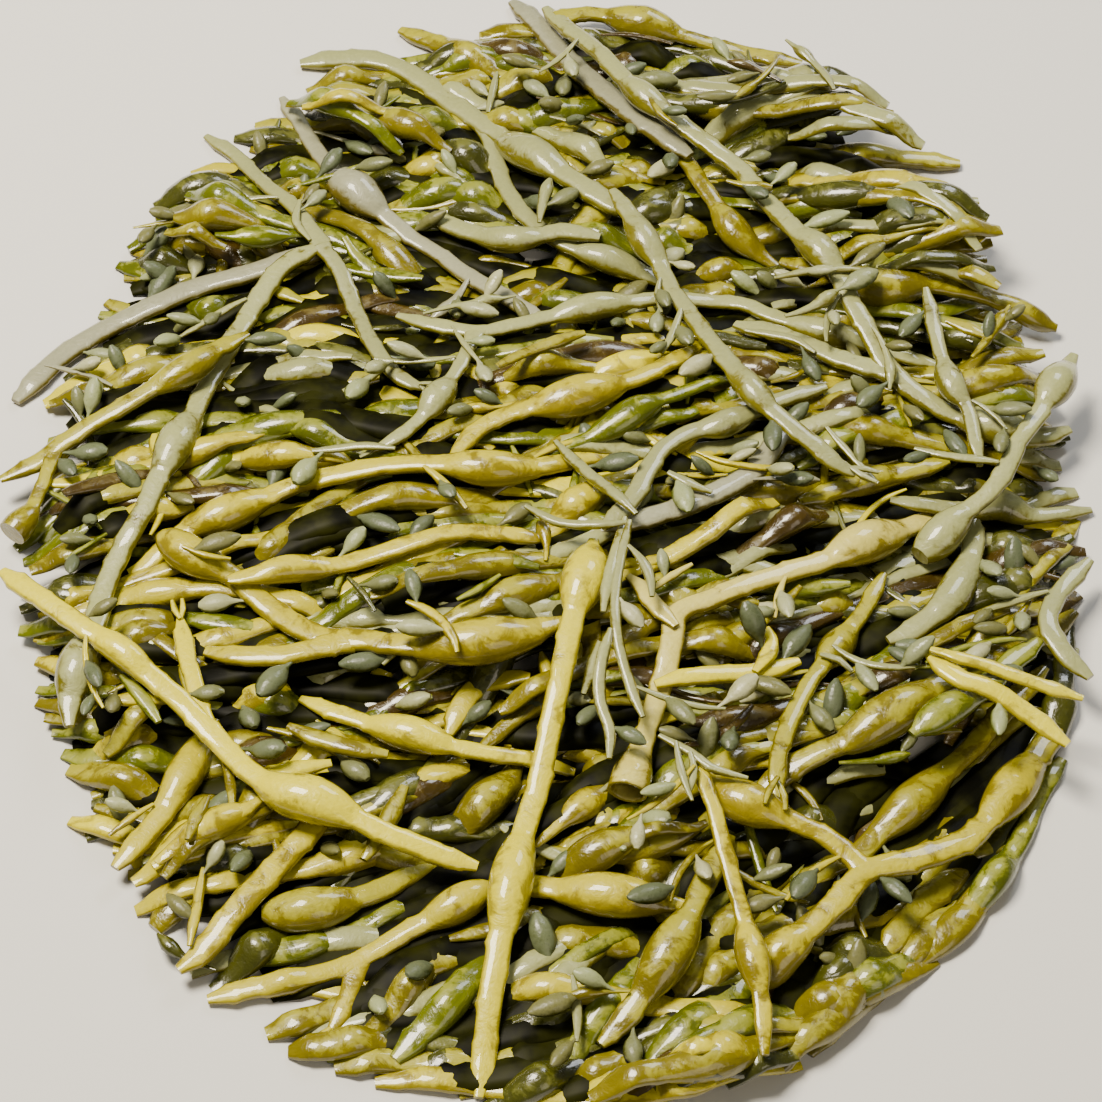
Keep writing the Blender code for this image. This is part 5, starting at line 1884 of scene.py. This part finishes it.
def make_floor():
    """A plain pale floor under the tangle."""
    mesh = bpy.data.meshes.new("floor")
    half = 4.0
    mesh.from_pydata([(-half, -half, 0), (half, -half, 0), (half, half, 0), (-half, half, 0)], [],
                     [(0, 1, 2, 3)])
    pale = bpy.data.materials.new("pale studio floor")
    pale.use_nodes = True
    shader = pale.node_tree.nodes["Principled BSDF"]
    shader.inputs["Base Color"].default_value = (*linear_colour("DAD9D5"), 1)
    shader.inputs["Roughness"].default_value = 0.8
    mesh.materials.append(pale)
    floor = bpy.data.objects.new("floor", mesh)
    bpy.context.scene.collection.objects.link(floor)


def area_light(name, place, size, power, colour):
    """A square light that points at the tangle's middle."""
    light = bpy.data.lights.new(name, "AREA")
    light.shape = "SQUARE"
    light.size = size
    light.energy = power
    light.color = linear_colour(colour)
    lamp = bpy.data.objects.new(name, light)
    lamp.location = place
    aim = mathutils.Vector((0, 0, 0)) - lamp.location
    lamp.rotation_euler = aim.to_track_quat("-Z", "Y").to_euler()
    bpy.context.scene.collection.objects.link(lamp)


# The lights: name, place, size in metres, power in watts and colour.
LIGHTS = [("key", (-0.6, 0.3, 1.55), 0.62, 66, "FFF4DE"),
          ("sky", (0.55, 1.1, 1.0), 0.5, 9, "F6F9FF"),
          ("fill", (0.9, -1.3, 1.3), 1.0, 8, "FFF2DC")]


def make_view():
    """The photograph's view, and soft light from a bright sky high behind the tangle."""
    camera = bpy.data.cameras.new("camera")
    camera.sensor_width = 36.0
    camera.lens = camera.sensor_width * VIEW_DISTANCE / PHOTO_SPAN
    camera.clip_start = 0.05
    view = bpy.data.objects.new("camera", camera)
    back = mathutils.Vector((0.0, -math.cos(VIEW_ELEVATION), math.sin(VIEW_ELEVATION)))
    view.location = mathutils.Vector(AIM) + back * VIEW_DISTANCE
    view.rotation_euler = (-back).to_track_quat("-Z", "Y").to_euler()
    bpy.context.scene.collection.objects.link(view)
    bpy.context.scene.camera = view
    world = bpy.data.worlds.new("studio")
    world.use_nodes = True
    world.node_tree.nodes["Background"].inputs[0].default_value = (*linear_colour("EEF0F2"), 1)
    world.node_tree.nodes["Background"].inputs[1].default_value = 0.12
    bpy.context.scene.world = world
    for light in LIGHTS:
        area_light(*light)


WRINKLE_DEPTH = 0.22 * MM

# The filling, from the ground up: stage, how many tries, widths, lengths, share of the
# tangle's round, and how it lies among the traced fronds.
FILL_PLAN = [
    (0, 140, (10 * MM, 13 * MM), (140 * MM, 260 * MM), 0.95, "deep"),
    (0, 170, (7 * MM, 10 * MM), (120 * MM, 250 * MM), 1.0, "under"),
    (0, 220, (6 * MM, 10 * MM), (90 * MM, 200 * MM), 1.0, "over"),
    (1, 360, (6 * MM, 9 * MM), (70 * MM, 170 * MM), 0.98, "over"),
    (2, 220, (5 * MM, 8 * MM), (50 * MM, 130 * MM), 0.96, "over"),
    (3, 120, (5 * MM, 8 * MM), (45 * MM, 100 * MM), 0.93, "over"),
]

# Fronds of the frame whose free ends fork.
FORKED_ENDS = ("shoot_diagonal", "shoot_cross_fork_branch", "shoot_long_left_branch",
               "shoot_short_twin", "shoot_left_fan_branch_down", "shoot_low_left_fork_branch")


# How likely a frond is to bear something at each place along its edges.
BEAR_CHANCES = {"upper": 0.26, "inner": 0.3, "slim": 0.6, "filling": 0.2}


def stage_of(number):
    """The stage that an upper shoot of the frame lies in, from its place in the order."""
    return sum(number >= first for first in STAGE_STARTS)


def lay_frame(field):
    """The frame's fronds, each with its stage and, for a fork's arm, its stem."""
    framed = [(0, strand, None) for strand in lay_main_shoots(field)]
    for number, shoot in enumerate(UPPER_SHOOTS):
        stem, *arms = lay_shoot(shoot, field)
        framed.append((stage_of(number), stem, None))
        framed += [(stage_of(number), arm, stem) for arm in arms]
    return framed


def sweep_frame(framed, layers, cover, dice):
    """Runs for the frame's fronds, which also go into the layers and the cover."""
    runs = []
    for stage, strand, stem in framed:
        fine, *section = strand.samples()
        mark_layers(layers, stage, section_rows(*section, np.linspace(-0.97, 0.97, 15)),
                    np.interp(fine, strand.arcs, strand.heights))
        cover.add(strand.path, strand.width)
        step = TOP_STEP if stage else MAIN_SWEEP_STEP
        if stem:
            runs.append(joined_run(strand, stem, stage, step, dice))
        else:
            runs.append(Run(strand, step, frame_heights(strand), STILL, stage, dice))
    return runs


def main():
    make_view()
    make_floor()
    dice = random.Random(FILL_SEED)
    sweep = frond_tree(frond_skin())
    deep_sweep = frond_tree(deep_painted_shade_skin())
    field = Field()
    layers = Layers()
    holdfast_reach = HOLDFAST_RADIUS * (1 + HOLDFAST_LOBE_DEPTH)
    for points, tops in holdfast_rings(holdfast_reach + FIELD_CELL):
        field.add(points, tops)
    for points, tops in holdfast_rings(holdfast_reach):
        layers.add(0, points, tops, np.zeros(len(tops)))
    framed = lay_frame(field)
    cover = Cover()
    runs = sweep_frame(framed, layers, cover, dice)

    pods = []
    extras = [lay_extra(shoot, stage, layers, dice, INNER_STEP) for stage, shoot in EXTRA_SHOOTS]
    hanging = [lay_extra(Shoot("slim", SAGE, width, route), stage, layers, dice, SLIM_STEP, 0.5)
               for stage, width, route in SLIM_SHOOTS]
    slims = hanging[:]
    for run in extras:
        cover.add(run.strand.path, run.strand.width)
    for run in runs:
        if run.stage > 0:
            bear(run, layers, dice, BEAR_CHANCES["upper"], pods, slims)
        if run.strand.name in FORKED_ENDS:
            slims += forked_tip(run, layers, dice)
    for run in extras:
        bear(run, layers, dice, BEAR_CHANCES["inner"], pods, slims)
    for run in hanging:
        bear(run, layers, dice, BEAR_CHANCES["slim"], pods, slims)

    seen = Seen()
    for run in [run for run in runs if run.stage > 0] + extras + hanging:
        seen.add(run)
    fills = []
    for row in FILL_PLAN:
        made = fill_stage(*row, layers, cover, seen, dice)
        arms = []
        if row[-1] != "deep":
            for run in made:
                bear(run, layers, dice, BEAR_CHANCES["filling"], pods, slims, arms, seen)
        fills.append(made + arms)

    open_end(next(run for run in runs if run.strand.torn))
    for (stage, strand, _), run in zip(framed, runs):
        piece = frond_piece("skin_of_" + strand.name, [run], TOP_SIDES if stage else FILL_SIDES,
                            WRINKLE_DEPTH, sweep)
        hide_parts(strand.name)
    frond_piece("inner_fronds", extras, TOP_SIDES, WRINKLE_DEPTH, sweep)
    frond_piece("slim_shoots", slims, SLIM_SIDES, 0.5 * WRINKLE_DEPTH, sweep)
    for number, filling in enumerate(fills):
        tree = deep_sweep if FILL_PLAN[number][-1] == "deep" else sweep
        piece = frond_piece("filling_fronds_%d" % number, filling, FILL_SIDES, WRINKLE_DEPTH, tree)
    pod_piece("receptacles", pods, pod_tree(pod_skin()))
    holdfast_piece(holdfast_skin())


main()
